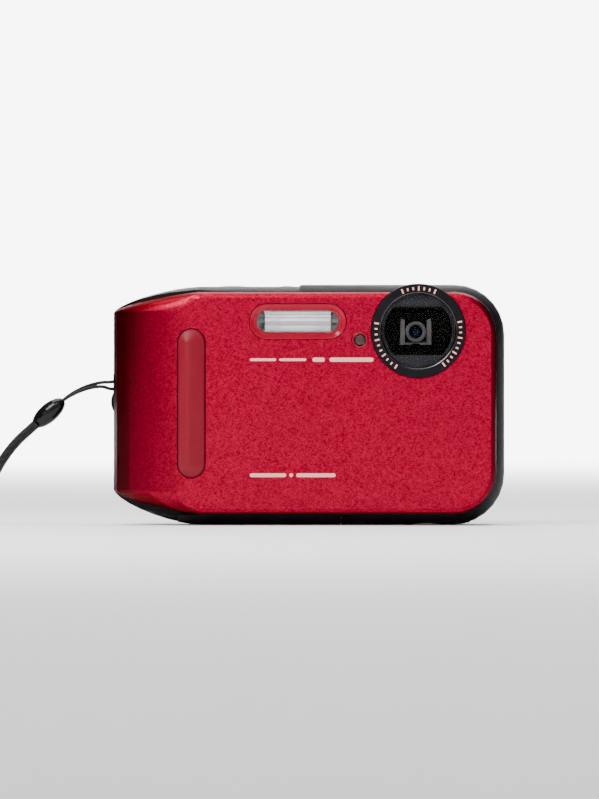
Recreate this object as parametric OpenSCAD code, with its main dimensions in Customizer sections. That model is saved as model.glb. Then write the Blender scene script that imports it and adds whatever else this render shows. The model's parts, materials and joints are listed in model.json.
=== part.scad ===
// Compact waterproof digital camera with a wrist strap, standing on its base.
// Frame: +X to the right as the front is looked at, +Y to the back, +Z up, millimetres.
// The origin lies on the surface it stands on, below the middle of the body.

/* [Body] */
// Overall width of the body
body_w = 102; // [98:1:124]
// Height of the body up to its left top edge
body_h = 62; // [61:1:75]
// Depth of the body from the front panel to the screen window
body_d = 22.5; // [22.5:0.5:28]
// Thickness of the moulded side walls
wall = 2; // [1.7:0.1:2.4]
// Thickness of the moulded back wall
back_wall = 1.6; // [1.4:0.1:2]
// Radius of the top corner beside the lens
corner_top_r = 13; // [10.8:0.2:15.6]
// Radius of the bottom corner below the lens
corner_low_r = 13.5; // [11:0.2:16]
// Thickness of the coloured front panel
panel_t = 1.1; // [0.9:0.1:1.4]
// Thickness of the frame behind the panel
frame_t = 1.2; // [1:0.1:1.5]

/* [Lens] */
// Outer radius of the lens ring
lens_ring_r = 12.2; // [11.6:0.1:13]
// Radius of the lens window
window_r = 9.55; // [9.2:0.05:10]
// Distance from the lens axis to the right side of the body
lens_from_right = 22.6; // [22.4:0.2:26]
// Distance from the lens axis down from the top of the body
lens_from_top = 11.6; // [11:0.2:14]

/* [Flash] */
// Width of the flash surround
flash_w = 25.3; // [24:0.1:28]
// Height of the flash surround
flash_h = 9.35; // [8.8:0.05:10]

/* [Grip] */
// Width of the soft finger grip
grip_w = 6.9; // [5.8:0.1:8.2]
// Length of the soft finger grip
grip_len = 38.3; // [32:0.1:46]

/* [Screen and controls] */
// Width of the screen window
screen_w = 63; // [56:1:66]
// Height of the screen window
screen_h = 48; // [44:1:52]
// Radius of the round back buttons
button_r = 2.7; // [2.3:0.1:3.2]
// Radius of the control ring
ring_r = 9; // [7.6:0.1:9.6]
// Radius of the shutter button
shutter_r = 3.25; // [2.8:0.05:3.9]

/* [Battery and door] */
// Width of the battery
battery_w = 35.5; // [30:0.5:36]
// Height of the battery
battery_h = 42; // [35:0.5:44]
// Thickness of the battery
battery_t = 5.5; // [4.6:0.1:5.8]
// Length of the battery door
door_len = 42.2; // [42:0.2:46]
// Radius of the door's hinge pin
pin_r = 0.5; // [0.4:0.05:0.6]

/* [Strap] */
// Diameter of the thin lead cord
lead_d = 0.9; // [0.7:0.1:1]
// Diameter of the wrist cord
band_d = 2.4; // [2:0.1:2.6]

/* [Hidden] */

$fn = 48;
slit = 0.1;          // visible joint between fixed pieces
play = 0.15;         // gap round a piece that slides
running = 0.05;      // radial clearance of a running fit
through = 60;        // reach of a cutter that passes right through

// Places of the outer faces
left_x = -body_w / 2;
right_x = body_w / 2;
front_bias = 0.25;   // shifts the body so that its raised pieces are balanced
front_y = -body_d / 2 + front_bias;
back_y = front_y + body_d;
step_h = 0.5;        // the top steps up this much beside the flash
step_x = left_x + 48.5;

// Left end: the sides sweep round in plan and taper in height
bow_x = left_x + 23; // the front is flat to the right of here
bow_d = 14;          // depth of the sweep
bow_y = front_y + bow_d;
side_top = body_h - 6.7;
side_low = 9;
taper_power = 1.5;

// Where the panel, the frame and the case meet
panel_top = body_h - 1.5;
panel_low = 2.9;
panel_right = right_x - 2.2;
panel_edge = 1.5;    // width of the rounded edge of the panel
panel_edge_d = 2.6;  // and its depth
panel_line = front_y + 3.4;
seam_run = left_x + 33;

// Layers from front to back
plate_y = front_y + panel_t;              // front face of the frame's plate
inner_y = plate_y + frame_t;              // back face of the frame's plate
back_in = back_y - back_wall;             // inner face of the back wall
board_y = back_in - 3;                    // front face of the button board
board_t = 0.6;
chassis_t = 0.6;

// Lens
lens_x = right_x - lens_from_right;
lens_z = body_h - lens_from_top;
lens_front = front_y - 0.8;
mask_t = 0.3;
window_t = 0.8;
clear_half = 6.3;    // half height of the clear window
housing_x = 20;
housing_wall = 1;
housing_top = lens_z + 7;
housing_low = 7;
housing_back = inner_y + 13.2;
shelf_z = lens_z - 8.4;
rod_r = 0.6;
rod_dx = 7.4;
rod_y = inner_y + 4.7;
group_r = 4.6;
screw_x = lens_x + 6.2;
screw_y = rod_y + 5;
motor_r = 2.3;
motor_h = 6;
zoom_z = shelf_z - 8;
focus_z = housing_low + 13;

// Flash and lamp
flash_x = left_x + 48.2;
flash_z = body_h - 9.2;
glass_w = flash_w - 4;
glass_h = flash_h - 3.75;
lamp_x = left_x + 64.3;
lamp_z = body_h - 14;
lamp_r = 1.6;

// Grip
grip_x = left_x + 20.65;
grip_z = 31.6;
grip_rise = 1.6;

// Top controls
top_in = body_h - wall;
key_y = 2;
shutter_x = left_x + 31.1;
power_x = left_x + 45.4;
power_r = 1.6;

// Back controls
pad_x = left_x + 17.6;
pad_z = 31;
centre_r = 3.6;
rocker_x = left_x + 17.65;
rocker_w = 13;
rocker_h = 5.4;
rocker_z = body_h - 4.9;
screen_x = right_x - 5 - screen_w / 2;
screen_z = 31;

// Battery bay and door
bay_x = left_x + 19.5;                    // left inner face of the bay
bay_y = inner_y + 3.5;                    // front inner face of the bay
bay_w = battery_w + 0.6;
bay_d = battery_t + 0.3;
box_wall = 0.5;
battery_low = 3.6;
door_left = left_x + 17.1;
door_right = door_left + door_len;
door_top = 2.1;
pin_y = back_y - 4.1;
pin_z = 1.9;
barrel_r = pin_z;    // the barrel rounds off the door's rear edge
door_front = panel_line + slit;
lip_d = 2.4;         // the door's front edge rises as a lip
lip_h = 0.7;
card_x = bay_x + 24;
card_y = bay_y + bay_d + box_wall + 0.3;
latch_travel = 2.2;

// Strap
lug_y = back_y - 5;
lug_z = 36.3;
lug_bar_x = left_x + 1.1;
lug_bar_r = 0.55;
// The lead leaves the lug, arcs over and hangs to the joiner
lead_route = [
    [-52.2, 36.3], [-53.6, 36.5], [-55.2, 36.4], [-57.4, 35.9],
    [-59.6, 35.1], [-61.8, 34.0], [-63.4, 32.95], [-64.5, 32.05]
];
joiner_pos = [-67.9, lug_y, 29.1];
joiner_tilt = 41;
joiner_len = 10.6;
joiner_r = 2.5;
// The wrist cord falls from the joiner to the surface, both strands alike
band_route = [
    [-71.2, 26.2], [-76.2, 21.6], [-79.8, 17.0], [-82.6, 12.2],
    [-85.2, 8.2], [-88.2, 5.2], [-92.3, 3.95]
];
band_gap = 1.3;      // half the distance between the two strands
hank_x = -92;        // its right end
hank_y = lug_y;
hank_len = 50;
hank_w = 15;
hank_h = 5.2;

// ---------------------------------------------------------------- outlines

function arc(cx, cz, r, from, to, n) =
    [for (i = [0:n]) let(a = from + (to - from) * i / n) [cx + r * cos(a), cz + r * sin(a)]];

// One quarter of the tapered left end: from its long side (0) to its tip (90)
function taper(x, reach, z, rise, from, to, n) =
    [for (i = [0:n])
        let(a = from + (to - from) * i / n, p = 2 / taper_power)
        [x - reach * pow(sin(a), p), z + rise * pow(cos(a), p)]];

// Outline seen from the front, anticlockwise: right corners, top step, tapered left end
function outline(low, top, right, r_low, r_top, share, step, inset) =
    concat(
        arc(right - inset - max(r_low - inset, 1), low + inset + max(r_low - inset, 1),
            max(r_low - inset, 1), -90, 0, 7),
        arc(right - inset - max(r_top - inset, 1), top + step - inset - max(r_top - inset, 1),
            max(r_top - inset, 1), 0, 90, 7),
        [[step_x + 0.6, top + step - inset], [step_x, top - inset]],
        taper(bow_x, (bow_x - left_x - inset) * share, side_top, top - inset - side_top, 0, 90, 9),
        taper(bow_x, (bow_x - left_x - inset) * share, side_low, low + inset - side_low, 90, 0, 9)
    );

// Share of the left end that is left at a depth, for a skin set in by inset
least_share = 0.1;
function bow(y, inset) =
    y >= bow_y ? 1 : max(least_share, sqrt(max(0, 1 - pow((bow_y - y) / (bow_d - inset), 2))));

// The case draws in towards the panel ahead of its shoulder line
shoulder_y = front_y + 10.6;
shoulder_d = shoulder_y - panel_line;
function shoulder(y) = y >= shoulder_y ? 0 : pow((shoulder_y - y) / shoulder_d, 2);

function case_outline(y, inset, edge) =
    let(s = shoulder(y))
    outline(2.75 * s, body_h - 1.35 * s, right_x - 2.05 * s, corner_low_r, corner_top_r,
        bow(y, inset), step_h * (1 - s), inset + edge);

function panel_outline(y, inset, edge) =
    outline(panel_low, panel_top, panel_right, corner_low_r - 2.4, corner_top_r - 2,
        bow(y, inset), 0, inset + edge);

function panel_edge_at(y) =
    let(d = front_y + panel_edge_d - y)
    d <= 0 ? 0 : panel_edge * (1 - sqrt(max(0, 1 - pow(d / panel_edge_d, 2))));

function turned(p) = [for (i = [len(p) - 1:-1:0]) p[i]];

// Solid through a list of [y, outline] sections. A list that runs out along the outside
// and comes back along the inside makes a tub. Skins that share sections meet face to face.
module loft(sections) {
    n = len(sections[0][1]);
    last = len(sections) - 1;
    polyhedron(
        points = [for (s = sections) for (p = s[1]) [p[0], s[0], p[1]]],
        faces = concat(
            [[for (i = [n - 1:-1:0]) i]],
            [[for (i = [0:n - 1]) last * n + i]],
            [for (k = [0:last - 1]) for (i = [0:n - 1])
                let(j = (i + 1) % n)
                each sections[k + 1][0] > sections[k][0]
                    ? [[k * n + i, k * n + j, (k + 1) * n + j],
                       [k * n + i, (k + 1) * n + j, (k + 1) * n + i]]
                    : [[k * n + i, k * n + j, (k + 1) * n + i],
                       [k * n + j, (k + 1) * n + j, (k + 1) * n + i]]]
        )
    );
}

// The case is a tub that opens to the front
module case_tub() {
    depths = [panel_line - 0.3, panel_line + 1.6, panel_line + 4.4, shoulder_y];
    loft(concat(
        [[back_y, turned(case_outline(back_y, 0, 1.6))],
         [back_y - 0.9, turned(case_outline(back_y, 0, 0.35))],
         [back_y - 2.2, turned(case_outline(back_y, 0, 0))]],
        [for (y = turned(depths)) [y, turned(case_outline(y, 0, 0))]],
        [for (y = depths) [y, turned(case_outline(y, wall, 0))]],
        [[back_in, turned(case_outline(back_in, wall, 0))]]
    ));
}

function swept_depths(inset) = [for (a = [0:18:72]) bow_y - (bow_d - inset) * cos(a)];
function panel_sections(inset) = concat(
    [for (y = swept_depths(inset))
        [y, panel_outline(y, inset, inset > 0 ? 0 : panel_edge_at(y))]],
    [[bow_y + 1, panel_outline(bow_y, inset, 0)]]
);

// A skin that follows the panel's shape between two depths below its surface
module panel_tub(outside, inside) {
    loft(concat(panel_sections(outside), turned(panel_sections(inside))));
}

// A ring that follows the panel's rear edge
module panel_ring(outside, inside) {
    difference() {
        panel_tub(outside, inside);
        block([-body_w, front_y - 1, -5], [body_w, panel_line - 0.9, body_h + 5]);
    }
}

// Everything behind a joint line that runs straight and then sweeps back at the left end
module behind(line, rise) {
    run = seam_run - left_x;
    r = (run * run + rise * rise) / (2 * rise);
    translate([0, 0, -5]) linear_extrude(body_h + 15) {
        translate([seam_run, line]) square([body_w, through]);
        intersection() {
            translate([seam_run, line + r]) circle(r, $fn = 96);
            translate([seam_run - body_w, line]) square([body_w, through]);
        }
    }
}

module behind_panel(gap = 0) { behind(panel_line + gap, bow_y - panel_line); }

// ---------------------------------------------------------------- helpers

// A disc or hole whose axis runs along Y from one depth to another
module along_y(x, z, r, from, to) {
    translate([x, from, z]) rotate([-90, 0, 0]) cylinder(h = to - from, r = r);
}

module along_x(y, z, r, from, to) {
    translate([from, y, z]) rotate([0, 90, 0]) cylinder(h = to - from, r = r);
}

module along_z(x, y, r, from, to) {
    translate([x, y, from]) cylinder(h = to - from, r = r);
}

module block(from, to) { translate(from) cube(to - from); }

// Rounded bar outline, long in X
module stadium(w, h) {
    square([w - h, h], center = true);
    for (side = [-1, 1]) translate([side * (w - h) / 2, 0]) circle(h / 2);
}

module stadium_y(x, z, w, h, from, to) {
    translate([x, to, z]) rotate([90, 0, 0]) linear_extrude(to - from) stadium(w, h);
}

// Plate with round corners, facing Y
module plate_y_round(x, z, w, h, r, from, to) {
    translate([x, to, z]) rotate([90, 0, 0]) linear_extrude(to - from) {
        square([w - 2 * r, h], center = true);
        square([w, h - 2 * r], center = true);
        for (i = [-1, 1], j = [-1, 1])
            translate([i * (w / 2 - r), j * (h / 2 - r)]) circle(r);
    }
}

// Tube of a cord: rings square to the run of its points
function unit(v) = v / norm(v);
function run_at(p, i) = unit(p[min(i + 1, len(p) - 1)] - p[max(i - 1, 0)]);
module cord(p, d, sides = 8) {
    n = len(p);
    polyhedron(
        points = [for (i = [0:n - 1])
            let(t = run_at(p, i),
                u = unit(cross(t, abs(t[2]) > 0.9 ? [1, 0, 0] : [0, 0, 1])),
                v = cross(t, u))
            for (k = [0:sides - 1])
                let(a = 360 * (k + 0.5) / sides)
                p[i] + d / 2 * (cos(a) * u + sin(a) * v)],
        faces = concat(
            [[for (k = [0:sides - 1]) k]],
            [[for (k = [sides - 1:-1:0]) (n - 1) * sides + k]],
            [for (i = [0:n - 2]) for (k = [0:sides - 1])
                let(m = (k + 1) % sides)
                each [[i * sides + k, (i + 1) * sides + k, (i + 1) * sides + m],
                      [i * sides + k, (i + 1) * sides + m, i * sides + m]]]
        )
    );
}

// ---------------------------------------------------------------- shells

module grip_bore(gap, from, to) {
    translate([grip_x, to, grip_z]) rotate([90, 90, 0])
        linear_extrude(to - from) stadium(grip_len + 2 * gap, grip_w + 2 * gap);
}

module front_panel() {
    color("crimson") difference() {
        panel_tub(0, panel_t);
        behind_panel();
        along_y(lens_x, lens_z, lens_ring_r + slit, front_y - 1, plate_y + 9);
        stadium_y(flash_x, flash_z, flash_w, flash_h, front_y - 1, plate_y + 1);
        along_y(lamp_x, lamp_z, lamp_r + slit, front_y - 1, plate_y + 1);
        translate([lamp_x, front_y + 0.5, lamp_z]) rotate([90, 0, 0])
            cylinder(h = 1, r1 = lamp_r + slit, r2 = lamp_r + slit + 1);
        grip_bore(slit, front_y - 1, plate_y + 2);
    }
}

// The soft bar has a low ridge, nearer to its outer edge, and beds on the frame
module grip_bar() {
    crest = grip_x - grip_w * 0.12;
    low = front_y + 0.9;
    bed = front_y + panel_t;
    color("firebrick") intersection() {
        grip_bore(0, front_y - grip_rise, bed);
        translate([0, 0, grip_z - grip_len]) linear_extrude(2 * grip_len) polygon([
            [grip_x - grip_w / 2 - 1, low], [grip_x - grip_w / 2 - 0.1, front_y - 0.2],
            [crest, front_y - grip_rise], [grip_x + grip_w / 2 + 0.1, front_y - 0.6],
            [grip_x + grip_w / 2 + 1, low], [grip_x + grip_w / 2 + 1, bed],
            [bow_x - 0.6, bed], [grip_x - grip_w / 2 - 1, low + 0.1]
        ]);
    }
}

module lens_seat(r, from, to) { along_y(lens_x, lens_z, r, from, to); }

module front_frame() {
    color([0.12, 0.11, 0.13]) difference() {
        union() {
            difference() {
                panel_tub(panel_t, panel_t + frame_t);
                behind_panel(-gasket_h);
            }
            for (x = screw_xs) screw_boss(x);
        }
        lens_seat(window_r - 0.6, front_y - 3, inner_y + 12);
        stadium_y(flash_x, flash_z, glass_w + 0.02, glass_h + 0.02, front_y - 1, inner_y + 1);
        along_y(lamp_x, lamp_z, lamp_r - 0.4, front_y - 1, inner_y + 1);
        for (x = screw_xs) along_z(x, screw_boss_y, 0.8, -1, screw_boss_top - 1.2);
    }
}

// Arms that reach back from the frame and take the case screws
screw_xs = [left_x + 65, right_x - 10.5];
screw_boss_y = inner_y + 10;
screw_boss_top = 10.6;
module screw_boss(x) {
    block([x - 1.8, inner_y - 0.4, screw_boss_top - 3], [x + 1.8, screw_boss_y + 1.8, screw_boss_top]);
}

// Lies between the frame's rear edge and the case's front edge
gasket_h = 0.6;
module case_gasket() {
    color("dimgray") difference() {
        panel_ring(panel_t + 0.1, panel_t + frame_t - 0.1);
        behind_panel(slit);
        difference() {
            block([-body_w, front_y - 2, -5], [body_w, bow_y + 9, body_h + 5]);
            behind_panel(-gasket_h);
        }
    }
}

module rear_case() {
    color([0.16, 0.15, 0.17]) difference() {
        union() {
            intersection() {
                case_tub();
                behind_panel(slit);
            }
            // Carries the top of the lens ring above the panel
            intersection() {
                lens_seat(lens_ring_r - 0.2, plate_y, panel_line + 1);
                block([lens_x - lens_ring_r, front_y, panel_top + slit],
                    [right_x, back_y, body_h + step_h + 1]);
            }
        }
        // Screen window and its ledge
        plate_y_round(screen_x, screen_z, screen_w, screen_h, 2.5, back_y - 1, back_y + 1);
        plate_y_round(screen_x, screen_z, screen_w - 4, screen_h - 4, 1.5, back_in - 1, back_y);
        for (p = key_places) along_y(p[0], p[1], button_r + play, back_in - 1, back_y + 1);
        along_y(pad_x, pad_z, ring_r + play, back_in - 1, back_y + 1);
        rocker_space();
        along_z(shutter_x, key_y, shutter_r + play, top_in - 2, body_h + 2);
        along_z(power_x, key_y, power_r + play, top_in - 2, body_h + 2);
        for (x = microphone_xs) along_z(x, key_y, 0.4, top_in - 1, body_h + 2);
        for (i = [0:4]) along_z(speaker_x + (i - 2) * 1.6, key_y, 0.45, top_in - 1, body_h + 2);
        door_space(play);
        along_x(pin_y, pin_z, pin_r, door_left - 1.8, door_right + 1.8);
        bay_mouth();
        latch_room(door_right + latch_travel);
        along_z(tripod_x, tripod_y, tripod_r, -1, wall + 1);
        for (x = screw_xs) {
            along_z(x, screw_boss_y, 0.9, -1, wall + 3);
            along_z(x, screw_boss_y, 1.7, -1, screw_head_z + 0.7);
        }
        lug_space();
    }
}

screw_head_z = 0.6;

// ---------------------------------------------------------------- lens

module ring_profile() {
    polygon([
        [window_r, lens_front + 0.8], [window_r + 0.3, lens_front],
        [lens_ring_r - 0.4, lens_front], [lens_ring_r, lens_front + 0.4],
        [lens_ring_r, plate_y], [window_r, plate_y]
    ]);
}

module lens_ring() {
    color("black") translate([lens_x, 0, lens_z]) rotate([-90, 0, 0])
        rotate_extrude($fn = 96) ring_profile();
}

module lens_window() {
    color([0.3, 0.3, 0.35, 0.4])
        lens_seat(window_r - 0.03, plate_y - mask_t - window_t, plate_y - mask_t);
}

// Opening that the lens looks through: a circle cut flat above and below
module clear_shape(from, to) {
    intersection() {
        lens_seat(window_r - 0.75, from, to);
        translate([lens_x, (from + to) / 2, lens_z])
            cube([through, to - from, 2 * clear_half], center = true);
    }
}

module window_mask() {
    color([0.15, 0.15, 0.17]) difference() {
        lens_seat(window_r - 0.03, plate_y - mask_t, plate_y);
        clear_shape(plate_y - 2, plate_y + 1);
    }
}

module lens_holder() {
    front = inner_y + 1.3;
    plate = inner_y + 3.2;
    color([0.3, 0.3, 0.33]) difference() {
        union() {
            block([lens_x - housing_x / 2 + housing_wall, plate, shelf_z + 1],
                [lens_x + housing_x / 2 - housing_wall, plate + 0.8, housing_top - housing_wall]);
            along_y(lens_x - 0.6, lens_z - 0.2, 2.7, front, plate + 0.1);
            for (x = [lens_x - 4.9, lens_x + 2.7])
                block([x, front + 0.2, lens_z - 3.6], [x + 1.2, plate + 0.1, lens_z + 3.2]);
            block([lens_x - 4.9, front + 0.6, lens_z - 3.3],
                [lens_x + 3.9, plate + 0.1, lens_z - 2.8]);
        }
        along_y(lens_x - 0.6, lens_z - 0.2, 1.7, front - 1, plate + 2);
    }
}

module front_lens() {
    y = inner_y + 1.6;
    color([0.3, 0.5, 0.45, 0.6]) intersection() {
        along_y(lens_x - 0.6, lens_z - 0.2, 1.7, y, y + 2);
        translate([lens_x - 0.6, y + 3.2, lens_z - 0.2]) sphere(3.2);
    }
}

module lens_housing() {
    x0 = lens_x - housing_x / 2;
    x1 = lens_x + housing_x / 2;
    w = housing_wall;
    color([0.2, 0.2, 0.22]) difference() {
        block([x0, inner_y, housing_low], [x1, housing_back, housing_top]);
        block([x0 + w, inner_y + w, shelf_z + w], [x1 - w, housing_back - w, housing_top - w]);
        block([x0 + w, inner_y + w, housing_low + w], [x1 - w, housing_back - w, shelf_z]);
        clear_shape(inner_y - 1, inner_y + w + 0.1);
        along_z(lens_x, rod_y + 1, 3.4, shelf_z - 1, shelf_z + w + 1);
    }
}

module prism() {
    s = 8.6;
    y0 = inner_y + 4.2;
    color([0.7, 0.8, 0.85, 0.5]) translate([lens_x - s / 2, y0, lens_z - 4.5])
        rotate([90, 0, 90]) linear_extrude(s) polygon([[0, 0], [s - 1, 0], [0, s - 1]]);
}

// A lens carriage that rides on both rods
module carriage(z, h) {
    difference() {
        union() {
            along_z(lens_x, rod_y + 1, group_r, z, z + h);
            block([lens_x - rod_dx - 1.2, rod_y - 1.2, z], [lens_x + rod_dx + 1.2, rod_y + 1.2, z + h]);
        }
        for (i = [-1, 1]) along_z(lens_x + i * rod_dx, rod_y, rod_r + running, z - 1, z + h + 1);
    }
}

module zoom_group() {
    color("slategray") difference() {
        union() {
            carriage(zoom_z, 3);
            block([lens_x + 3, screw_y - 2.4, zoom_z], [screw_x + 1.4, screw_y + 1.2, zoom_z + 2]);
        }
        along_z(screw_x, screw_y, rod_r + running, zoom_z - 1, zoom_z + 4);
        for (i = [-1, 1])
            along_z(lens_x + i * rod_dx, rod_y, rod_r + running, zoom_z - 1, zoom_z + 4);
    }
}

module focus_group() { color("darkslategray") carriage(focus_z, 2.6); }

module guide_rods() {
    color("silver") for (i = [-1, 1])
        along_z(lens_x + i * rod_dx, rod_y, rod_r, housing_low + housing_wall, shelf_z);
}

module zoom_motor() {
    color("gray") difference() {
        along_z(screw_x - 0.4, screw_y - 0.4, motor_r, housing_low + housing_wall,
            housing_low + housing_wall + motor_h);
        along_z(screw_x, screw_y, rod_r + running, housing_low + 2, housing_low + 20);
    }
}

module zoom_screw() {
    color("silver") along_z(screw_x, screw_y, rod_r, housing_low + 2.2, shelf_z - 0.2);
}

module image_sensor() {
    color("darkgreen") block(
        [lens_x - 5.5, rod_y - 2.6, housing_low + housing_wall],
        [lens_x + 3, rod_y + 5.6, housing_low + housing_wall + 1.4]);
}

// ---------------------------------------------------------------- flash and lamp

module flash_bezel() {
    color("crimson") difference() {
        stadium_y(flash_x, flash_z, flash_w - 2 * slit, flash_h - 2 * slit, front_y + 0.3, plate_y);
        stadium_y(flash_x, flash_z, glass_w, glass_h, front_y - 1, plate_y + 1);
        stadium_y(flash_x, flash_z, glass_w + 1.8, glass_h + 1.8, front_y - 1, front_y + 0.6);
    }
}

module flash_window() {
    color([0.9, 0.9, 0.95, 0.5])
        stadium_y(flash_x, flash_z, glass_w - 0.06, glass_h - 0.06, front_y + 0.5, inner_y);
}

module flash_reflector() {
    w = 17.6;
    y0 = inner_y;
    color("silver") difference() {
        block([flash_x - w / 2, y0, flash_z - 3], [flash_x + w / 2, y0 + 4, flash_z + 3]);
        intersection() {
            along_x(y0 + 0.2, flash_z, 2.6, flash_x - w, flash_x + w);
            block([flash_x - w / 2 + 0.3, y0 - 5, flash_z - 4], [flash_x + w / 2 - 0.3, y0 + 9, flash_z + 4]);
        }
        along_x(y0 + 1.7, flash_z, 1.05, flash_x - w, flash_x + w);
    }
}

module flash_tube() {
    color([0.85, 0.9, 0.95, 0.6]) along_x(inner_y + 1.7, flash_z, 1, flash_x - 10.2, flash_x + 10.2);
}

module flash_capacitor() {
    color("midnightblue") along_z(bay_x + 45.2, inner_y + 4.2, 3.9, 12, 44);
}

module af_lamp() {
    color("orange") {
        along_y(lamp_x, lamp_z, lamp_r, front_y + 0.35, plate_y);
        along_y(lamp_x, lamp_z, lamp_r - 0.45, plate_y, inner_y + 1.4);
    }
}

// ---------------------------------------------------------------- top controls

// Round cap with a slight dome, a retaining flange inside the wall and a stem
module top_key(x, r, top) {
    intersection() {
        along_z(x, key_y, r, top_in - 0.1, top);
        translate([x, key_y, top - 6 * r]) sphere(6 * r, $fn = 96);
    }
    along_z(x, key_y, r - 0.2, top_in - 0.4, top_in);
    along_z(x, key_y, r + 0.7, top_in - 1.2, top_in - 0.3);
    along_z(x, key_y, 0.8, top_in - 1.7, top_in - 1);
}

module shutter_button() { color("silver") top_key(shutter_x, shutter_r, body_h + 0.36); }
module power_button() { color([0.2, 0.2, 0.22]) top_key(power_x, power_r, body_h + 0.22); }

module top_board() {
    z = top_in - 2.9;
    color("green") {
        block([shutter_x - 5, key_y - 3.4, z], [power_x + 4, key_y + 3.4, z + 0.6]);
        for (x = [shutter_x, power_x]) along_z(x, key_y, 1.5, z + 0.6, z + 0.7);
    }
}

microphone_xs = [left_x + 36.6, left_x + 39.8];
module microphone() {
    color("gold") block([microphone_xs[0] - 1, key_y - 1.5, top_in - 2.3],
        [microphone_xs[1] + 1, key_y + 1.5, top_in - 1.2]);
}

speaker_x = left_x + 60;
module speaker() {
    color("dimgray") plate_z_round(speaker_x, key_y, 13, 6.6, 2, top_in - 3.2, top_in - 0.3);
}

module plate_z_round(x, y, w, d, r, from, to) {
    translate([x, y, from]) linear_extrude(to - from) {
        square([w - 2 * r, d], center = true);
        square([w, d - 2 * r], center = true);
        for (i = [-1, 1], j = [-1, 1])
            translate([i * (w / 2 - r), j * (d / 2 - r)]) circle(r);
    }
}

// ---------------------------------------------------------------- back controls

key_out = 0.45;      // buttons stand out of the back this much
movie_place = [left_x + 28.4, body_h - 7.2];
playback_place = [left_x + 8.6, 47.2];
mode_place = [left_x + 26.8, 47.2];
menu_place = [left_x + 9.4, 15];
delete_place = [left_x + 26, 15];
key_places = [movie_place, playback_place, mode_place, menu_place, delete_place];

module back_key(place) {
    along_y(place[0], place[1], button_r, back_in, back_y + key_out);
    along_y(place[0], place[1], button_r + 0.6, back_in - 0.8, back_in - 0.05);
    along_y(place[0], place[1], button_r - 0.4, back_in - 0.1, back_in + 0.1);
    along_y(place[0], place[1], 0.8, back_in - 1.4, back_in - 0.8);
}

module movie_button() { color("firebrick") back_key(movie_place); }
module playback_button() { color([0.2, 0.2, 0.22]) back_key(playback_place); }
module mode_button() { color([0.2, 0.2, 0.22]) back_key(mode_place); }
module menu_button() { color([0.2, 0.2, 0.22]) back_key(menu_place); }
module delete_button() { color([0.2, 0.2, 0.22]) back_key(delete_place); }

// Rocks up and down on the carrier's studs
module control_ring() {
    color([0.25, 0.25, 0.27]) difference() {
        along_y(pad_x, pad_z, ring_r - 0.15, back_in + 0.2, back_y + key_out);
        along_y(pad_x, pad_z, centre_r + 0.45, back_in - 1, back_y + 2);
    }
}

// Rocks left and right under the ring, on two feet; two studs carry the ring
module control_carrier() {
    reach = (ring_r + centre_r) / 2;
    color("gray") {
        difference() {
            along_y(pad_x, pad_z, ring_r - 1.2, back_in - 1.1, back_in - 0.4);
            along_y(pad_x, pad_z, centre_r + 1.1, back_in - 2, back_in + 1);
        }
        for (side = [-1, 1]) {
            along_y(pad_x + side * reach, pad_z, 0.5, back_in - 0.5, back_in + 0.15);
            along_y(pad_x, pad_z + side * reach, 0.5, board_y + board_t + 0.1, back_in - 1);
        }
    }
}

module centre_button() {
    color([0.2, 0.2, 0.22]) {
        along_y(pad_x, pad_z, centre_r, back_in - 0.6, back_y + key_out - 0.15);
        along_y(pad_x, pad_z, centre_r + 0.6, back_in - 1.2, back_in - 0.6);
        along_y(pad_x, pad_z, 0.8, back_in - 1.5, back_in - 1.1);
    }
}

// The rocker stands out at the back and carries ridges over the top edge
module rocker_space() {
    block([rocker_x - rocker_w / 2 - 0.3, back_in - 1, rocker_z - rocker_h / 2 - 0.3],
        [rocker_x + rocker_w / 2 + 0.3, back_y + 2, body_h + 3]);
}

module zoom_rocker() {
    z0 = rocker_z - rocker_h / 2;
    z1 = body_h - 0.45;
    color([0.2, 0.2, 0.22]) {
        // The top edge falls to the left with the body's own outline
        translate([rocker_x, back_y + key_out, 0]) rotate([90, 0, 0])
            linear_extrude(back_wall + key_out - 0.2) polygon([
                [-rocker_w / 2, z0], [rocker_w / 2, z0], [rocker_w / 2, z1],
                [2, z1], [-2, z1 - 0.45], [-rocker_w / 2, z1 - 1.7]
            ]);
        for (i = [-2:2])
            translate([rocker_x + i * 0.88, back_y - 0.2, z1 - 0.2 + i * 0.1])
                rotate([90, 0, 0]) linear_extrude(1.2, center = true)
                    polygon([[-0.4, -0.3], [0.4, -0.3], [0.1, 0.45], [-0.1, 0.45]]);
        block([rocker_x - 1.2, back_in - 1.1, z0 + 0.6], [rocker_x + 1.2, back_in + 0.3, z1 - 3]);
    }
}

module button_board() {
    y = board_y;
    color("green") {
        block([left_x + 5.8, y, 11.6], [left_x + 30.2, y + board_t, 50.8]);
        block([rocker_x - 6, y, 50], [left_x + 31.6, y + board_t, body_h - 4.6]);
        for (p = concat(key_places, [[pad_x, pad_z]]))
            along_y(p[0], p[1], 1.6, y + board_t, y + board_t + 0.25);
        for (i = [-1, 1])
            along_y(rocker_x + i * 4, rocker_z - 0.6, 1.2, y + board_t, y + board_t + 0.25);
    }
}

// ---------------------------------------------------------------- screen and boards

module screen_window() {
    color([0.05, 0.05, 0.06])
        plate_y_round(screen_x, screen_z, screen_w - 2 * slit, screen_h - 2 * slit, 2.4,
            back_y - 1, back_y);
}

module screen_panel() {
    color("lightgray") block([screen_x - 29.4, back_in - 2.4, screen_z - 22.4],
        [screen_x + 29.4, back_in, screen_z + 22.4]);
}

module chassis() {
    y = board_y - chassis_t;
    color("silver") block([left_x + 7.4, y, 8], [right_x - 6.4, board_y, body_h - 7]);
}

module main_board() {
    y = card_y + 1.7;
    color("green") block([bay_x + 1, y, 11.2], [lens_x - housing_x / 2 - 0.8, y + 1, body_h - 16.5]);
}

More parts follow.
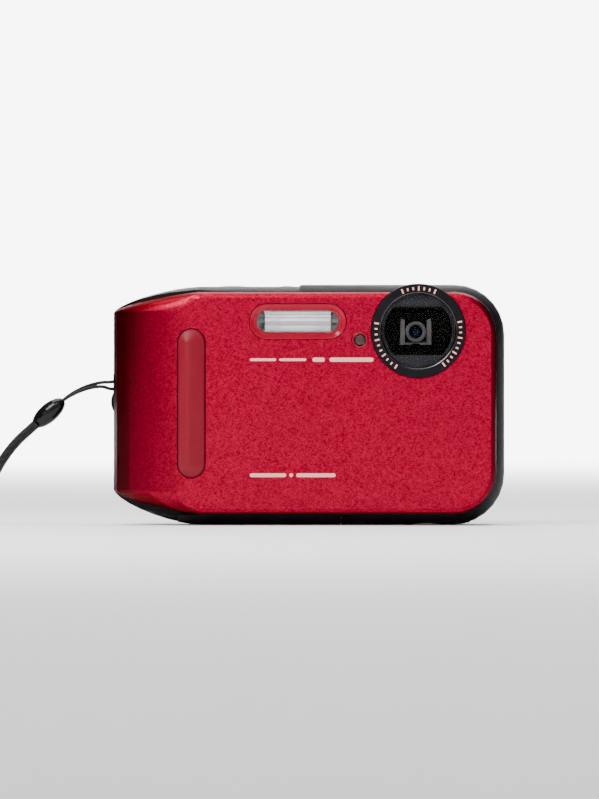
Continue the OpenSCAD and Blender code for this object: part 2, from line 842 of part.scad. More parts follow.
module processor_shield() {
    y = card_y + 2.7;
    color("silver") difference() {
        block([bay_x + 6, y, 20], [bay_x + 30, y + 1.8, 42]);
        block([bay_x + 6.3, y - 1, 20.3], [bay_x + 29.7, y + 1.5, 41.7]);
    }
}

// ---------------------------------------------------------------- battery, card and door

module battery_box() {
    x0 = bay_x - box_wall;
    x1 = bay_x + bay_w + box_wall;
    y1 = bay_y + bay_d + box_wall;
    color([0.3, 0.3, 0.33]) difference() {
        block([x0, bay_y - box_wall, door_top + 2.2], [x1, y1, battery_low + battery_h + 1.4]);
        block([bay_x, bay_y, 0], [bay_x + bay_w, bay_y + bay_d, battery_low + battery_h + 0.7]);
    }
}

module battery() {
    color([0.22, 0.22, 0.25])
        plate_z_round(bay_x + bay_w / 2, bay_y + bay_d / 2, battery_w, battery_t, 1.2,
            battery_low, battery_low + battery_h);
}

module card_socket() {
    color("silver") difference() {
        block([card_x - 6.6, card_y - 0.3, door_top + 2.6], [card_x + 6.6, card_y + 1.7, 21]);
        block([card_x - 5.6, card_y + 0.2, 0], [card_x + 5.6, card_y + 1.2, 19.6]);
    }
}

module memory_card() {
    color([0.15, 0.15, 0.2]) block([card_x - 5.5, card_y + 0.3, 4], [card_x + 5.5, card_y + 1, 19]);
}

module usb_connector() {
    x = bay_x + 8;
    color("silver") difference() {
        block([x - 4, card_y - 0.3, door_top + 2.6], [x + 4, card_y + 1.7, 10.4]);
        block([x - 3.5, card_y, 0], [x + 3.5, card_y + 1.4, 9.6]);
    }
}

// Mouth of the battery bay through the base
module bay_mouth() {
    block([bay_x - 0.7, bay_y - 0.7, -1], [bay_x + bay_w + 0.7, card_y + 2.1, wall + 2.4]);
}

// All the room that the closed door takes in the base
module door_space(gap) {
    x0 = door_left - gap;
    x1 = door_right + gap;
    block([x0, door_front - 1, -3], [x1, pin_y, door_top + gap]);
    block([x0, door_front - 1, -3], [x1, door_front + lip_d + gap, door_top + lip_h + gap]);
    along_x(pin_y, pin_z, barrel_r + gap, x0, x1);
    // Room for the outer face as it swings past upright
    block([x0, pin_y - 1, -3], [x1, pin_y + barrel_r + 0.5, pin_z]);
}

// The base's section from the panel back: it rises to the panel's lower edge
function base_rise(y) = 2.75 * shoulder(y);
module battery_door() {
    color([0.16, 0.15, 0.17]) difference() {
        union() {
            translate([door_left, 0, 0]) rotate([90, 0, 90]) linear_extrude(door_len) polygon(concat(
                [for (i = [0:5]) let(y = door_front + (shoulder_y - door_front) * i / 5)
                    [y, base_rise(y)]],
                [[pin_y, 0], [pin_y, door_top], [door_front + lip_d, door_top],
                 [door_front + 1, door_top + lip_h], [door_front, door_top + lip_h]]
            ));
            along_x(pin_y, pin_z, barrel_r, door_left, door_right);
            // Raised plug that carries the gasket
            block([bay_x, bay_y, door_top - 0.2], [bay_x + bay_w, card_y + 1.4, door_top + 0.9]);
        }
        // The base tapers up towards the left end
        translate([0, back_y, 0]) rotate([90, 0, 0]) linear_extrude(body_d + 5) polygon([
            [bow_x, -0.01], [bow_x - 3, 0.28], [bow_x - 6, 0.78], [bow_x - 9, 1.4],
            [bow_x - 9, -1], [bow_x, -1]
        ]);
        along_x(pin_y, pin_z, pin_r + running, door_left - 1, door_right + 1);
        gasket_groove();
        latch_track();
    }
}

module gasket_groove() {
    difference() {
        block([bay_x + 0.5, bay_y + 0.5, door_top + 0.3],
            [bay_x + bay_w - 0.5, card_y + 0.9, door_top + 1.3]);
        block([bay_x + 1.5, bay_y + 1.5, door_top - 1],
            [bay_x + bay_w - 1.5, card_y - 0.1, door_top + 2]);
    }
}

module door_gasket() { color("orange") gasket_groove(); }

module door_hinge_pin() {
    color("silver") along_x(pin_y, pin_z, pin_r, door_left - 1.8, door_right + 1.8);
}

// Slider in the door, drawn back in its open place; slid to the right it enters the case
latch_w = 6.4;
latch_x = door_right - 6.7;
latch_y = shoulder_y + 2.6;
latch_low = 0.55;
latch_high = 1.45;
module latch_room(right) {
    block([latch_x - play, latch_y - 2.2 - play, latch_low - 0.1],
        [right, latch_y + 2.2 + play, latch_high + 0.1]);
}
module latch_track() {
    latch_room(door_right + 1);
    block([latch_x + 0.5, latch_y - 1.7, -1], [latch_x + 5.9, latch_y + 1.7, latch_low]);
}

module door_latch() {
    color([0.25, 0.25, 0.27]) {
        block([latch_x, latch_y - 2.2, latch_low], [latch_x + latch_w, latch_y + 2.2, latch_high]);
        for (i = [0:2])
            block([latch_x + 0.75 + i * 1.1, latch_y - 1.5, 0.1],
                [latch_x + 1.25 + i * 1.1, latch_y + 1.5, latch_low + 0.1]);
    }
}

// ---------------------------------------------------------------- base fittings

tripod_x = right_x - 20.5;
tripod_y = 1.5;
tripod_r = 4.6;
thread_r = 3.175;
tripod_top = 6.6;
module tripod_nut() {
    color("silver") difference() {
        union() {
            along_z(tripod_x, tripod_y, tripod_r, 0.2, tripod_top);
            along_z(tripod_x, tripod_y, tripod_r + 0.9, wall + 1, wall + 2.2);
        }
        along_z(tripod_x, tripod_y, thread_r, 0, tripod_top - 0.8);
    }
}

module case_screws() {
    color("silver") for (x = screw_xs) {
        along_z(x, screw_boss_y, 0.78, screw_head_z, screw_boss_top - 1.4);
        difference() {
            along_z(x, screw_boss_y, 1.5, screw_head_z - 0.1, screw_head_z + 0.7);
            for (turn = [0, 90]) translate([x, screw_boss_y, screw_head_z - 0.1]) rotate(turn)
                cube([1.6, 0.35, 0.8], center = true);
        }
    }
}

// ---------------------------------------------------------------- strap

lug_low = 29.6;
lug_high = 39.2;
lug_half = 2.2;
lug_floor = 1.1 + lug_bar_r + lead_d + 0.3;
module lug_space() {
    block([left_x - 2, lug_y - lug_half - 0.02, lug_low - 0.02],
        [left_x + lug_floor + 0.9, lug_y + lug_half + 0.02, lug_high + 0.02]);
}

module strap_lug() {
    bump_r = 4.7;
    color([0.14, 0.14, 0.16]) {
        difference() {
            block([left_x + 0.02, lug_y - lug_half, lug_low],
                [left_x + lug_floor + 0.8, lug_y + lug_half, lug_high]);
            block([left_x - 1, lug_y - lug_half + 0.5, lug_z - 1.6],
                [left_x + lug_floor, lug_y + lug_half - 0.5, lug_z + 2.3]);
        }
        along_y(lug_bar_x, lug_z, lug_bar_r, lug_y - lug_half + 0.4, lug_y + lug_half - 0.4);
        intersection() {
            along_y(left_x - 0.6 + bump_r, 32, bump_r, lug_y - 1.9, lug_y + 1.9);
            block([left_x - 2, lug_y - 3, lug_low], [left_x + 0.1, lug_y + 3, 34.4]);
        }
    }
}

// Both strands of the lead, over and under the lug's bar. They come together beside the
// case and twist by a quarter turn on their way to the joiner.
module strap_lead() {
    turn_r = lug_bar_r + lead_d / 2 + 0.06;
    strand = lead_d / 2 + 0.03;
    n = len(lead_route);
    function beside(i, side) =
        let(a = 90 * (1 - i / (n - 1)), spread = strand + (turn_r - strand) * max(0, 1 - i / 2))
        [lead_route[i][0], lug_y + side * spread * cos(a), lead_route[i][1] + side * spread * sin(a)];
    turn = [for (a = [-90:30:90])
        [lug_bar_x + turn_r * cos(a), lug_y, lug_z + turn_r * sin(a)]];
    color([0.1, 0.1, 0.12]) cord(concat(
        [for (i = [n - 1:-1:0]) beside(i, -1)], turn, [for (i = [0:n - 1]) beside(i, 1)]
    ), lead_d);
}

module strap_joiner() {
    h = joiner_len / 2;
    color("black") translate(joiner_pos) rotate([0, 90 - joiner_tilt, 0])
        rotate_extrude() polygon(concat(
            [for (a = [-75:15:75]) [joiner_r * cos(a), h * sin(a)]],
            [[0, h * sin(75)], [0, -h * sin(75)]]
        ));
}

module strap_band() {
    color([0.1, 0.1, 0.12]) for (side = [-1, 1])
        cord([for (p = band_route) [p[0], joiner_pos[1] + side * band_gap, p[1]]], band_d);
}

// The rest of the wrist cord, folded flat on the surface
module strap_hank() {
    color([0.1, 0.1, 0.12]) translate([hank_x - hank_len / 2, hank_y, 0])
        linear_extrude(hank_h) stadium(hank_len, hank_w);
}

front_panel();
grip_bar();
front_frame();
rear_case();
case_gasket();
lens_ring();
lens_window();
window_mask();
lens_holder();
front_lens();
lens_housing();
prism();
zoom_group();
focus_group();
guide_rods();
zoom_motor();
zoom_screw();
image_sensor();
flash_bezel();
flash_window();
flash_reflector();
flash_tube();
flash_capacitor();
af_lamp();
shutter_button();
power_button();
top_board();
microphone();
speaker();
zoom_rocker();
movie_button();
playback_button();
mode_button();
menu_button();
delete_button();
control_ring();
control_carrier();
centre_button();
button_board();
screen_window();
screen_panel();
main_board();
processor_shield();
chassis();
battery_box();
battery();
card_socket();
memory_card();
usb_connector();
battery_door();
door_gasket();
door_hinge_pin();
door_latch();
tripod_nut();
case_screws();
strap_lug();
strap_lead();
strap_joiner();
strap_band();
strap_hank();
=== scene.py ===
"""Compact waterproof camera with its wrist strap, built round the CAD frame."""

import json
import math

import bmesh
import bpy
from mathutils import Matrix, Vector


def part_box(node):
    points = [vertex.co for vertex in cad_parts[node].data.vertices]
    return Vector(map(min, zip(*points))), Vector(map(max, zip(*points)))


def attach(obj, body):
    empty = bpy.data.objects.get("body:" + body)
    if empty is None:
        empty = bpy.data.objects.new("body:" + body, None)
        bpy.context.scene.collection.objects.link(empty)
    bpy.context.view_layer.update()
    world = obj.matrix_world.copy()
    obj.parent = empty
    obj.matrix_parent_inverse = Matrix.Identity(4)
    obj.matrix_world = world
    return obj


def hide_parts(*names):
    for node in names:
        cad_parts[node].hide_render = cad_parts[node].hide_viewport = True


bl_info = {
    "name": "Compact Camera",
    "version": (1, 0, 0),
    "blender": (4, 5, 0),
    "location": "View3D > Sidebar > Camera",
    "description": "Builds a compact waterproof camera and its wrist strap",
    "category": "Add Mesh",
}

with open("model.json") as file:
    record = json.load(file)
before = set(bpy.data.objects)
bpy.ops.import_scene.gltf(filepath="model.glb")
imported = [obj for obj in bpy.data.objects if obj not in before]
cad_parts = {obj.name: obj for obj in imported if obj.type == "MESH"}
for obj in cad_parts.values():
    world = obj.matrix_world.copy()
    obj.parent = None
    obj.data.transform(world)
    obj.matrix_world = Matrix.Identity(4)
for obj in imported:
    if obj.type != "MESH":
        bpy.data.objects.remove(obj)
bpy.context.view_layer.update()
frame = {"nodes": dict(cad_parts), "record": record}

MM = 0.001
BODY_OF = {
    node: body
    for body, nodes in frame["record"]["behaviour"]["bodies"].items()
    for node in nodes
}
SLOT_OF = {s["node"]: s["material_slot"] for s in frame["record"]["subparts"]}


def middle(node):
    low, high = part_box(node)
    return (low + high) / 2


PANEL_LOW, PANEL_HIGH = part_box("front_panel")
FRONT_Y = PANEL_LOW.y
RING_LOW, RING_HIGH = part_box("lens_ring")
LENS = middle("lens_ring")
RING_R = (RING_HIGH.x - RING_LOW.x) / 2
WINDOW_LOW, WINDOW_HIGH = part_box("lens_window")
WINDOW_R = (WINDOW_HIGH.x - WINDOW_LOW.x) / 2
LUG = Vector((-51 * MM, 6.5 * MM, 36.3 * MM))   # where the strap's lead leaves the case


# ------------------------------------------------------------------ colour and nodes


def tone(code, alpha=1.0):
    """Linear colour of an sRGB hex value."""
    parts = [int(code[i : i + 2], 16) / 255 for i in (1, 3, 5)]
    linear = [c / 12.92 if c <= 0.04045 else ((c + 0.055) / 1.055) ** 2.4 for c in parts]
    return (*linear, alpha)


def add(tree, kind, settings=None, links=None):
    """Adds a node, sets its properties or input values, and links its inputs."""
    node = tree.nodes.new(kind)
    for key, value in (settings or {}).items():
        if isinstance(key, str) and hasattr(node, key) and key not in node.inputs:
            setattr(node, key, value)
        else:
            node.inputs[key].default_value = value
    for key, output in (links or {}).items():
        tree.links.new(output, node.inputs[key])
    return node


def finish(name, **settings):
    """A material with one shader; its keyword names are the shader's sockets."""
    material = bpy.data.materials.new(name)
    material.use_nodes = True
    tree = material.node_tree
    shader = tree.nodes["Principled BSDF"]
    for key, value in settings.items():
        shader.inputs[key.replace("_", " ")].default_value = value
    place = add(tree, "ShaderNodeTexCoord")
    return material, tree, shader, place.outputs["Object"]


def grain(tree, shader, place, size, depth, roughness=None):
    """Fine relief of a real grain size in metres; it can vary the roughness as well."""
    noise = add(
        tree,
        "ShaderNodeTexNoise",
        {"Scale": 1 / size, "Detail": 2.0},
        {"Vector": place},
    )
    bump = add(
        tree,
        "ShaderNodeBump",
        {"Strength": 0.35, "Distance": depth},
        {"Height": noise.outputs["Fac"]},
    )
    tree.links.new(bump.outputs["Normal"], shader.inputs["Normal"])
    if roughness:
        wear = add(
            tree,
            "ShaderNodeTexNoise",
            {"Scale": 1 / (size * 40), "Detail": 3.0},
            {"Vector": place},
        )
        spread = add(
            tree,
            "ShaderNodeMapRange",
            {"To Min": roughness[0], "To Max": roughness[1]},
            {"Value": wear.outputs["Fac"]},
        )
        tree.links.new(spread.outputs["Result"], shader.inputs["Roughness"])
    return noise


def mottle(tree, shader, source, low, high):
    """Colour that wanders between two tones with a pattern."""
    mix = add(
        tree,
        "ShaderNodeMix",
        {"data_type": "RGBA", 6: tone(low), 7: tone(high)},
        {0: source},
    )
    tree.links.new(mix.outputs[2], shader.inputs["Base Color"])
    return mix.outputs[2]


# ------------------------------------------------------------------ finishes


def lacquered_aluminium(colour, deep, edge):
    # Formed aluminium sheet under red metallic lacquer. Every flake lies at its own slight angle,
    # so the face glitters; flakes are drawn 0.3 mm wide, coarser than real, so that they show.
    # The rolled sides, where the face turns to left or right, are painted a deep wine colour:
    # painted shade for the dark surroundings they reflect.
    m, tree, shader, place = finish(
        "lacquered_aluminium",
        Metallic=1.0,
        Specular_Tint=tone("#70102A"),
        Coat_Weight=0.08,
        Coat_Roughness=0.12,
    )
    flake = add(tree, "ShaderNodeTexVoronoi", {"Scale": 1 / (0.3 * MM)}, {"Vector": place})
    relief = add(
        tree,
        "ShaderNodeBump",
        {"Strength": 0.3, "Distance": 0.03 * MM},
        {"Height": flake.outputs["Color"]},
    )
    tree.links.new(relief.outputs["Normal"], shader.inputs["Normal"])
    shader.inputs["Roughness"].default_value = 0.43
    cloud = add(
        tree,
        "ShaderNodeTexNoise",
        {"Scale": 1 / (0.55 * MM), "Detail": 3.0, "Roughness": 0.7},
        {"Vector": place},
    )
    each = add(tree, "ShaderNodeSeparateColor", None, {"Color": flake.outputs["Color"]})
    lively = add(
        tree,
        "ShaderNodeMix",
        {"Factor": 0.3},
        {2: each.outputs["Red"], 3: cloud.outputs["Fac"]},
    )
    face = mottle(tree, shader, lively.outputs[0], deep, colour)
    # Painted shade: the base colour moves to the side tone as the object-space normal turns towards
    # X.
    skin = add(tree, "ShaderNodeTexCoord")
    facing = add(tree, "ShaderNodeSeparateXYZ", None, {"Vector": skin.outputs["Normal"]})
    aside = add(tree, "ShaderNodeMath", {"operation": "ABSOLUTE"}, {0: facing.outputs["X"]})
    painted_side_shade = add(
        tree,
        "ShaderNodeMapRange",
        {"From Min": 0.05, "From Max": 0.7},
        {"Value": aside.outputs[0]},
    )
    both = add(
        tree,
        "ShaderNodeMix",
        {"data_type": "RGBA", 7: tone(edge)},
        {0: painted_side_shade.outputs["Result"], 6: face},
    )
    tree.links.new(both.outputs[2], shader.inputs["Base Color"])
    return m


def moulded_abs(name, colour, high, size=0.25, gloss=0.08):
    # Spark-textured ABS: fine even grain, a broad dull sheen and slightly polished patches.
    m, tree, shader, place = finish(name, IOR=1.54, Specular_IOR_Level=gloss)
    noise = grain(tree, shader, place, size * MM, 0.02 * MM, (0.46, 0.6))
    mottle(tree, shader, noise.outputs["Fac"], colour, high)
    return m


def polished_polycarbonate(name, colour, high, gloss=0.18):
    # Mirror-polished mould: sharp reflections with faint haze and hairline wear.
    m, tree, shader, place = finish(name, IOR=1.58, Specular_IOR_Level=gloss)
    noise = grain(tree, shader, place, 0.6 * MM, 0.002 * MM, (0.07, 0.16))
    mottle(tree, shader, noise.outputs["Fac"], colour, high)
    return m


def silicone(name, colour, high):
    # Soft-touch silicone rubber: dusty matt skin, with sheen at glancing angles.
    m, tree, shader, place = finish(
        name,
        IOR=1.42,
        Specular_IOR_Level=0.3,
        Sheen_Weight=0.05,
        Sheen_Roughness=0.4,
        Sheen_Tint=tone("#FF8090"),
    )
    noise = grain(tree, shader, place, 0.3 * MM, 0.02 * MM, (0.38, 0.5))
    mottle(tree, shader, noise.outputs["Fac"], colour, high)
    return m


def clear_pane(name, tint, rough=0.0, ior=1.49):
    # Hard-coated clear window: very smooth, with a faint cleaning haze.
    m, tree, shader, place = finish(
        name, Base_Color=tone(tint), IOR=ior, Transmission_Weight=1.0, Roughness=rough
    )
    grain(tree, shader, place, 2.0 * MM, 0.0004 * MM)
    return m


def coated_glass():
    # Optical glass with a thin anti-reflection film: dark, with a faint blue-violet reflection.
    m, tree, shader, place = finish(
        "coated_optical_glass",
        Base_Color=tone("#101418"),
        IOR=1.6,
        Roughness=0.05,
        Transmission_Weight=0.3,
        Thin_Film_Thickness=115.0,
        Thin_Film_IOR=1.38,
    )
    grain(tree, shader, place, 1.5 * MM, 0.0003 * MM)
    return m


def bare_metal(name, colour, high, low_rough, high_rough, size=0.2):
    # Plain metal, rolled or turned: fine directional grain, brighter where it is rubbed.
    m, tree, shader, place = finish(name, Metallic=1.0)
    noise = grain(tree, shader, place, size * MM, 0.004 * MM, (low_rough, high_rough))
    mottle(tree, shader, noise.outputs["Fac"], colour, high)
    return m


def printed_ink():
    # Pad-printed ink: thin, slightly raised, satin, pale salmon with uneven cover.
    m, tree, shader, place = finish("printed_ink", IOR=1.5)
    noise = grain(tree, shader, place, 0.15 * MM, 0.003 * MM, (0.4, 0.55))
    mottle(tree, shader, noise.outputs["Fac"], "#EAA094", "#F4B4A8")
    return m


def circuit_board():
    # Glass-epoxy board under green solder mask: tracks show as a faint 0.6 mm pattern in the
    # colour.
    m, tree, shader, place = finish("circuit_board", IOR=1.55, Coat_Weight=0.3)
    tracks = add(
        tree,
        "ShaderNodeTexBrick",
        {"Scale": 1 / (5 * MM), "Mortar Size": 0.04, "Brick Width": 0.7, "Row Height": 0.13},
        {"Vector": place},
    )
    mottle(tree, shader, tracks.outputs["Fac"], "#0B4A25", "#2C7A4A")
    shader.inputs["Roughness"].default_value = 0.4
    return m


def braided_cord(name, colour, high, pitch):
    # Braided polyester: crossing bundles of yarn that follow the cord, with a soft nap.
    m, tree, shader, _ = finish(
        name,
        IOR=1.5,
        Roughness=0.55,
        Specular_IOR_Level=0.2,
        Sheen_Weight=0.06,
        Sheen_Roughness=0.5,
    )
    uv = add(tree, "ShaderNodeUVMap", {"uv_map": "UVMap"})
    parts = add(tree, "ShaderNodeSeparateXYZ", None, {"Vector": uv.outputs["UV"]})
    waves = []
    for turn in (1, -1):
        along = add(tree, "ShaderNodeMath", {"operation": "MULTIPLY"}, {0: parts.outputs["Y"]})
        along.inputs[1].default_value = 2 * math.pi * turn * pitch
        round_ = add(tree, "ShaderNodeMath", {"operation": "MULTIPLY"}, {0: parts.outputs["X"]})
        round_.inputs[1].default_value = 2 * math.pi * 6
        both = add(
            tree,
            "ShaderNodeMath",
            {"operation": "ADD"},
            {0: along.outputs[0], 1: round_.outputs[0]},
        )
        wave = add(tree, "ShaderNodeMath", {"operation": "SINE"}, {0: both.outputs[0]})
        waves.append(wave.outputs[0])
    weave = add(tree, "ShaderNodeMath", {"operation": "MAXIMUM"}, {0: waves[0], 1: waves[1]})
    bump = add(
        tree,
        "ShaderNodeBump",
        {"Strength": 0.7, "Distance": 0.08 * MM},
        {"Height": weave.outputs[0]},
    )
    tree.links.new(bump.outputs["Normal"], shader.inputs["Normal"])
    level = add(
        tree,
        "ShaderNodeMapRange",
        {"From Min": -1.0, "From Max": 1.0},
        {"Value": weave.outputs[0]},
    )
    mottle(tree, shader, level.outputs["Result"], colour, high)
    return m


def studio_paper(colour):
    # Seamless background paper: matt, with a barely visible tooth.
    m, tree, shader, place = finish(
        "studio_paper", Base_Color=tone(colour), Roughness=0.9, Specular_IOR_Level=0.2
    )
    grain(tree, shader, place, 1.0 * MM, 0.02 * MM)
    return m


class Finishes:
    """Every finish, made once and kept by name."""

    made = {}

    @classmethod
    def get(cls, name):
        if name not in cls.made:
            cls.made[name] = cls.make(name)
        return cls.made[name]

    @staticmethod
    def make(name):
        shell = bpy.context.scene.camera_shell
        makers = {
            "red_metal": lambda: lacquered_aluminium(
                shell.panel_colour, shell.panel_deep, shell.panel_side_shade
            ),
            "red_trim": lambda: polished_polycarbonate("red_polycarbonate", "#8A0420", "#A2062A"),
            "red_silicone": lambda: silicone("red_silicone", shell.grip_colour, "#800620"),
            "shell_black": lambda: moulded_abs("charcoal_abs", shell.shell_colour, "#151318"),
            "frame_black": lambda: polished_polycarbonate("black_pc_frame", "#0C0B0D", "#141316"),
            "gloss_black": lambda: polished_polycarbonate("black_pc", "#08080A", "#101012"),
            "clear_glass": lambda: clear_pane("hard_coated_acrylic", "#FFFFFF"),
            # An anti-reflection coating leaves about a twenty-fifth of a plain pane's mirror image
            "window_glass": lambda: clear_pane("anti_reflection_glass", "#FFFFFF", 0.0, 1.08),
            "mask_paint": lambda: moulded_abs("mask_paint", "#242429", "#2A2A30", 0.4, 0.1),
            # Near black: the flocked lens holder, and the painted shade of the gap round the grip.
            "well_black": lambda: moulded_abs("flocked_black_and_painted_shade", "#030303", "#060606", 0.4, 0.02),
            "barrel_grey": lambda: moulded_abs("glass_filled_pc", "#363438", "#444246", 0.3, 0.3),
            "lens_glass": coated_glass,
            "inner_black": lambda: moulded_abs("black_inner_pc", "#0E0E10", "#18181B", 0.4),
            "steel": lambda: bare_metal("stainless_steel", "#A9A9AC", "#C4C4C8", 0.25, 0.4),
            "plated": lambda: bare_metal("nickel_plate", "#C8C6C2", "#E2E0DC", 0.12, 0.22),
            "alu": lambda: bare_metal("rolled_aluminium", "#B4B6B8", "#CCCED0", 0.3, 0.45),
            "board": circuit_board,
            "amber": lambda: clear_pane("rose_polycarbonate", "#E8A090", 0.12),
            "seal": lambda: silicone("black_seal_rubber", "#161617", "#222224"),
            "seal_orange": lambda: silicone("orange_seal_silicone", "#B8501C", "#CC6428"),
            "screen_glass": lambda: polished_polycarbonate("display_glass", "#050506", "#08080A"),
            "display": lambda: polished_polycarbonate("display_module", "#2A2C30", "#34363A"),
            "cell": lambda: moulded_abs("battery_wrap", "#26282E", "#32343A"),
            "brass_gold": lambda: bare_metal("gold_plate", "#B98A3C", "#D2A655", 0.2, 0.3),
            "cord_black": lambda: braided_cord("braided_polyester", "#050506", "#141316", 420.0),
            "silver_key": lambda: bare_metal("satin_key_plate", "#86868C", "#9C9CA2", 0.24, 0.34),
            "sleeve": lambda: polished_polycarbonate("shrink_sleeve", "#10183A", "#18224C"),
            "ink": printed_ink,
            "dark_chrome": lambda: bare_metal("black_chrome", "#4C4A4E", "#5E5C60", 0.2, 0.3),
            "bright_dish": lambda: bare_metal("bright_reflector", "#FCFCFF", "#FFFFFF", 0.16, 0.26),
        }
        return makers[name]()


# ------------------------------------------------------------------ mesh helpers


def settle(name, bm, material, body, stands_for=(), angle=32, weighted=True):
    """Turns a finished bmesh into a piece that rides on its body."""
    bmesh.ops.recalc_face_normals(bm, faces=bm.faces[:])
    mesh = bpy.data.meshes.new(name)
    bm.to_mesh(mesh)
    bm.free()
    for face in mesh.polygons:
        face.use_smooth = True
    mesh.set_sharp_from_angle(angle=math.radians(angle))
    mesh.materials.append(Finishes.get(material))
    piece = bpy.data.objects.new(name, mesh)
    bpy.context.collection.objects.link(piece)
    if weighted:
        weights = piece.modifiers.new("even_normals", "WEIGHTED_NORMAL")
        weights.keep_sharp = True
    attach(piece, body)
    if stands_for:
        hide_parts(*stands_for)
    return piece


def cad_mesh(node):
    """A copy of a CAD node's mesh with its loose triangles joined into faces."""
    bm = bmesh.new()
    bm.from_mesh(frame["nodes"][node].data)
    bmesh.ops.remove_doubles(bm, verts=bm.verts[:], dist=0.002 * MM)
    bmesh.ops.dissolve_limit(
        bm,
        angle_limit=math.radians(0.4),
        verts=bm.verts[:],
        edges=bm.edges[:],
    )
    return bm


def soften(bm, width, segments=2, angle=30):
    """Rounds every edge that is sharper than an angle."""
    sharp = [
        e
        for e in bm.edges
        if len(e.link_faces) == 2 and e.calc_face_angle(0) > math.radians(angle)
    ]
    bmesh.ops.bevel(
        bm,
        geom=sharp,
        offset=width,
        offset_type="OFFSET",
        segments=segments,
        profile=0.5,
        affect="EDGES",
        clamp_overlap=True,
        material=-1,
    )
    return bm


def softened(node, width=0.12, segments=2, angle=30, material=None):
    """Replaces a CAD node by a copy with rounded edges."""
    bm = soften(cad_mesh(node), width * MM, segments, angle)
    return settle(
        node + "_shell", bm, material or SLOT_OF[node], BODY_OF[node], (node,)
    )


def loop(bm, points):
    """A closed loop of edges through points."""
    verts = [bm.verts.new(p) for p in points]
    return [bm.edges.new((verts[i], verts[(i + 1) % len(verts)])) for i in range(len(verts))]


def stadium(x, z, w, h, y, steps=12):
    """Points of an upright or lying outline with round ends, facing the front."""
    r = min(w, h) / 2
    dx, dz = max(w / 2 - r, 0), max(h / 2 - r, 0)
    points = []
    for i in range(4 * steps):
        a = 2 * math.pi * (i + 0.5) / (4 * steps)
        c, s = math.cos(a), math.sin(a)
        points.append((x + r * c + math.copysign(dx, c), y, z + r * s + math.copysign(dz, s)))
    return points


def stack(bm, outlines, close_first=False, close_last=False):
    """Bridges outlines one after the other, and fills the ends if asked."""
    rings = [loop(bm, p) for p in outlines]
    for a, b in zip(rings, rings[1:]):
        bmesh.ops.bridge_loops(bm, edges=a + b)
    for ring, close in ((rings[0], close_first), (rings[-1], close_last)):
        if close:
            bmesh.ops.contextual_create(bm, geom=ring)
    return rings


def lathe(profile, x, z, steps=128, closed=True):
    """A ring of revolution about an axis along Y; the profile is (radius, y) in metres."""
    bm = bmesh.new()
    verts = [bm.verts.new((x + r, y, z)) for r, y in profile]
    edges = [bm.edges.new((a, b)) for a, b in zip(verts, verts[1:])]
    if closed:
        edges.append(bm.edges.new((verts[-1], verts[0])))
    bmesh.ops.spin(
        bm,
        geom=verts + edges,
        cent=(x, 0, z),
        axis=(0, 1, 0),
        angle=2 * math.pi,
        steps=steps,
        use_merge=True,
    )
    bmesh.ops.remove_doubles(bm, verts=bm.verts[:], dist=0.0005 * MM)
    return bm


def bar(bm, low, high):
    """Adds a closed box between two corners."""
    low, high = Vector(low), Vector(high)
    place = Matrix.Translation((low + high) / 2) @ Matrix.Diagonal((*(high - low), 1))
    return bmesh.ops.create_cube(bm, size=1, matrix=place)["verts"]


# ------------------------------------------------------------------ settings


class ShellSettings(bpy.types.PropertyGroup):
    panel_colour: bpy.props.StringProperty(
        name="Panel colour",
        description="Brightest flakes of the front, sRGB hex",
        default="#C2003A",
    )
    panel_deep: bpy.props.StringProperty(
        name="Panel depth", description="Darkest flakes of the front, sRGB hex", default="#640012"
    )
    # Painted shade: tone painted on the panel's rolled sides, where they turn away to left or
    # right.
    panel_side_shade: bpy.props.StringProperty(
        name="Panel sides", description="Lacquer on the rolled sides, sRGB hex", default="#4A0610"
    )
    grip_colour: bpy.props.StringProperty(
        name="Grip colour", description="Silicone of the grip, sRGB hex", default="#6C0016"
    )
    shell_colour: bpy.props.StringProperty(
        name="Case colour", description="Moulded case, sRGB hex", default="#0B0A0D"
    )
    edge_round: bpy.props.FloatProperty(
        name="Edge rounding",
        description="Radius on the panel's cut edges",
        default=0.25 * MM,
        unit="LENGTH",
    )


class LensSettings(bpy.types.PropertyGroup):
    chamfer: bpy.props.FloatProperty(
        name="Inner chamfer",
        description="Width of the bright chamfer round the window",
        default=0.35 * MM,
        unit="LENGTH",
    )
    tick_step: bpy.props.FloatProperty(
        name="Tick spacing",
        description="Angle between the printed ticks",
        default=math.radians(7),
        subtype="ANGLE",
    )
    tick_radius: bpy.props.FloatProperty(
        name="Tick radius",
        description="Radius of the printed ticks",
        default=10.95 * MM,
        unit="LENGTH",
    )


class FlashSettings(bpy.types.PropertyGroup):
    ribs: bpy.props.IntProperty(
        name="Ribs", description="Pitches of the upright lines across the dish", default=22, min=4
    )
    end_ribs: bpy.props.IntProperty(
        name="End ribs", description="Upright lines drawn at each end", default=5, min=0
    )
    rows: bpy.props.IntProperty(
        name="Rows", description="Level lines in the flash window", default=5, min=1
    )


class StrapSettings(bpy.types.PropertyGroup):
    lead: bpy.props.FloatProperty(
        name="Lead thickness",
        description="Diameter of the thin cord at the camera",
        default=0.9 * MM,
        unit="LENGTH",
    )
    band: bpy.props.FloatProperty(
        name="Cord thickness",
        description="Diameter of the wrist cord",
        default=2.4 * MM,
        unit="LENGTH",
    )


class StageSettings(bpy.types.PropertyGroup):
    paper: bpy.props.StringProperty(
        name="Paper colour", description="Floor and backdrop, sRGB hex", default="#F4F4F4"
    )
    focal: bpy.props.FloatProperty(
        name="Focal length", description="Camera lens in millimetres", default=300.0
    )
    field: bpy.props.FloatProperty(
        name="Field height",
        description="Height of the view at the front of the camera",
        default=207.6 * MM,
        unit="LENGTH",
    )


SETTINGS = {
    "camera_shell": ShellSettings,
    "camera_lens": LensSettings,
    "camera_flash": FlashSettings,
    "camera_strap": StrapSettings,
    "camera_stage": StageSettings,
}


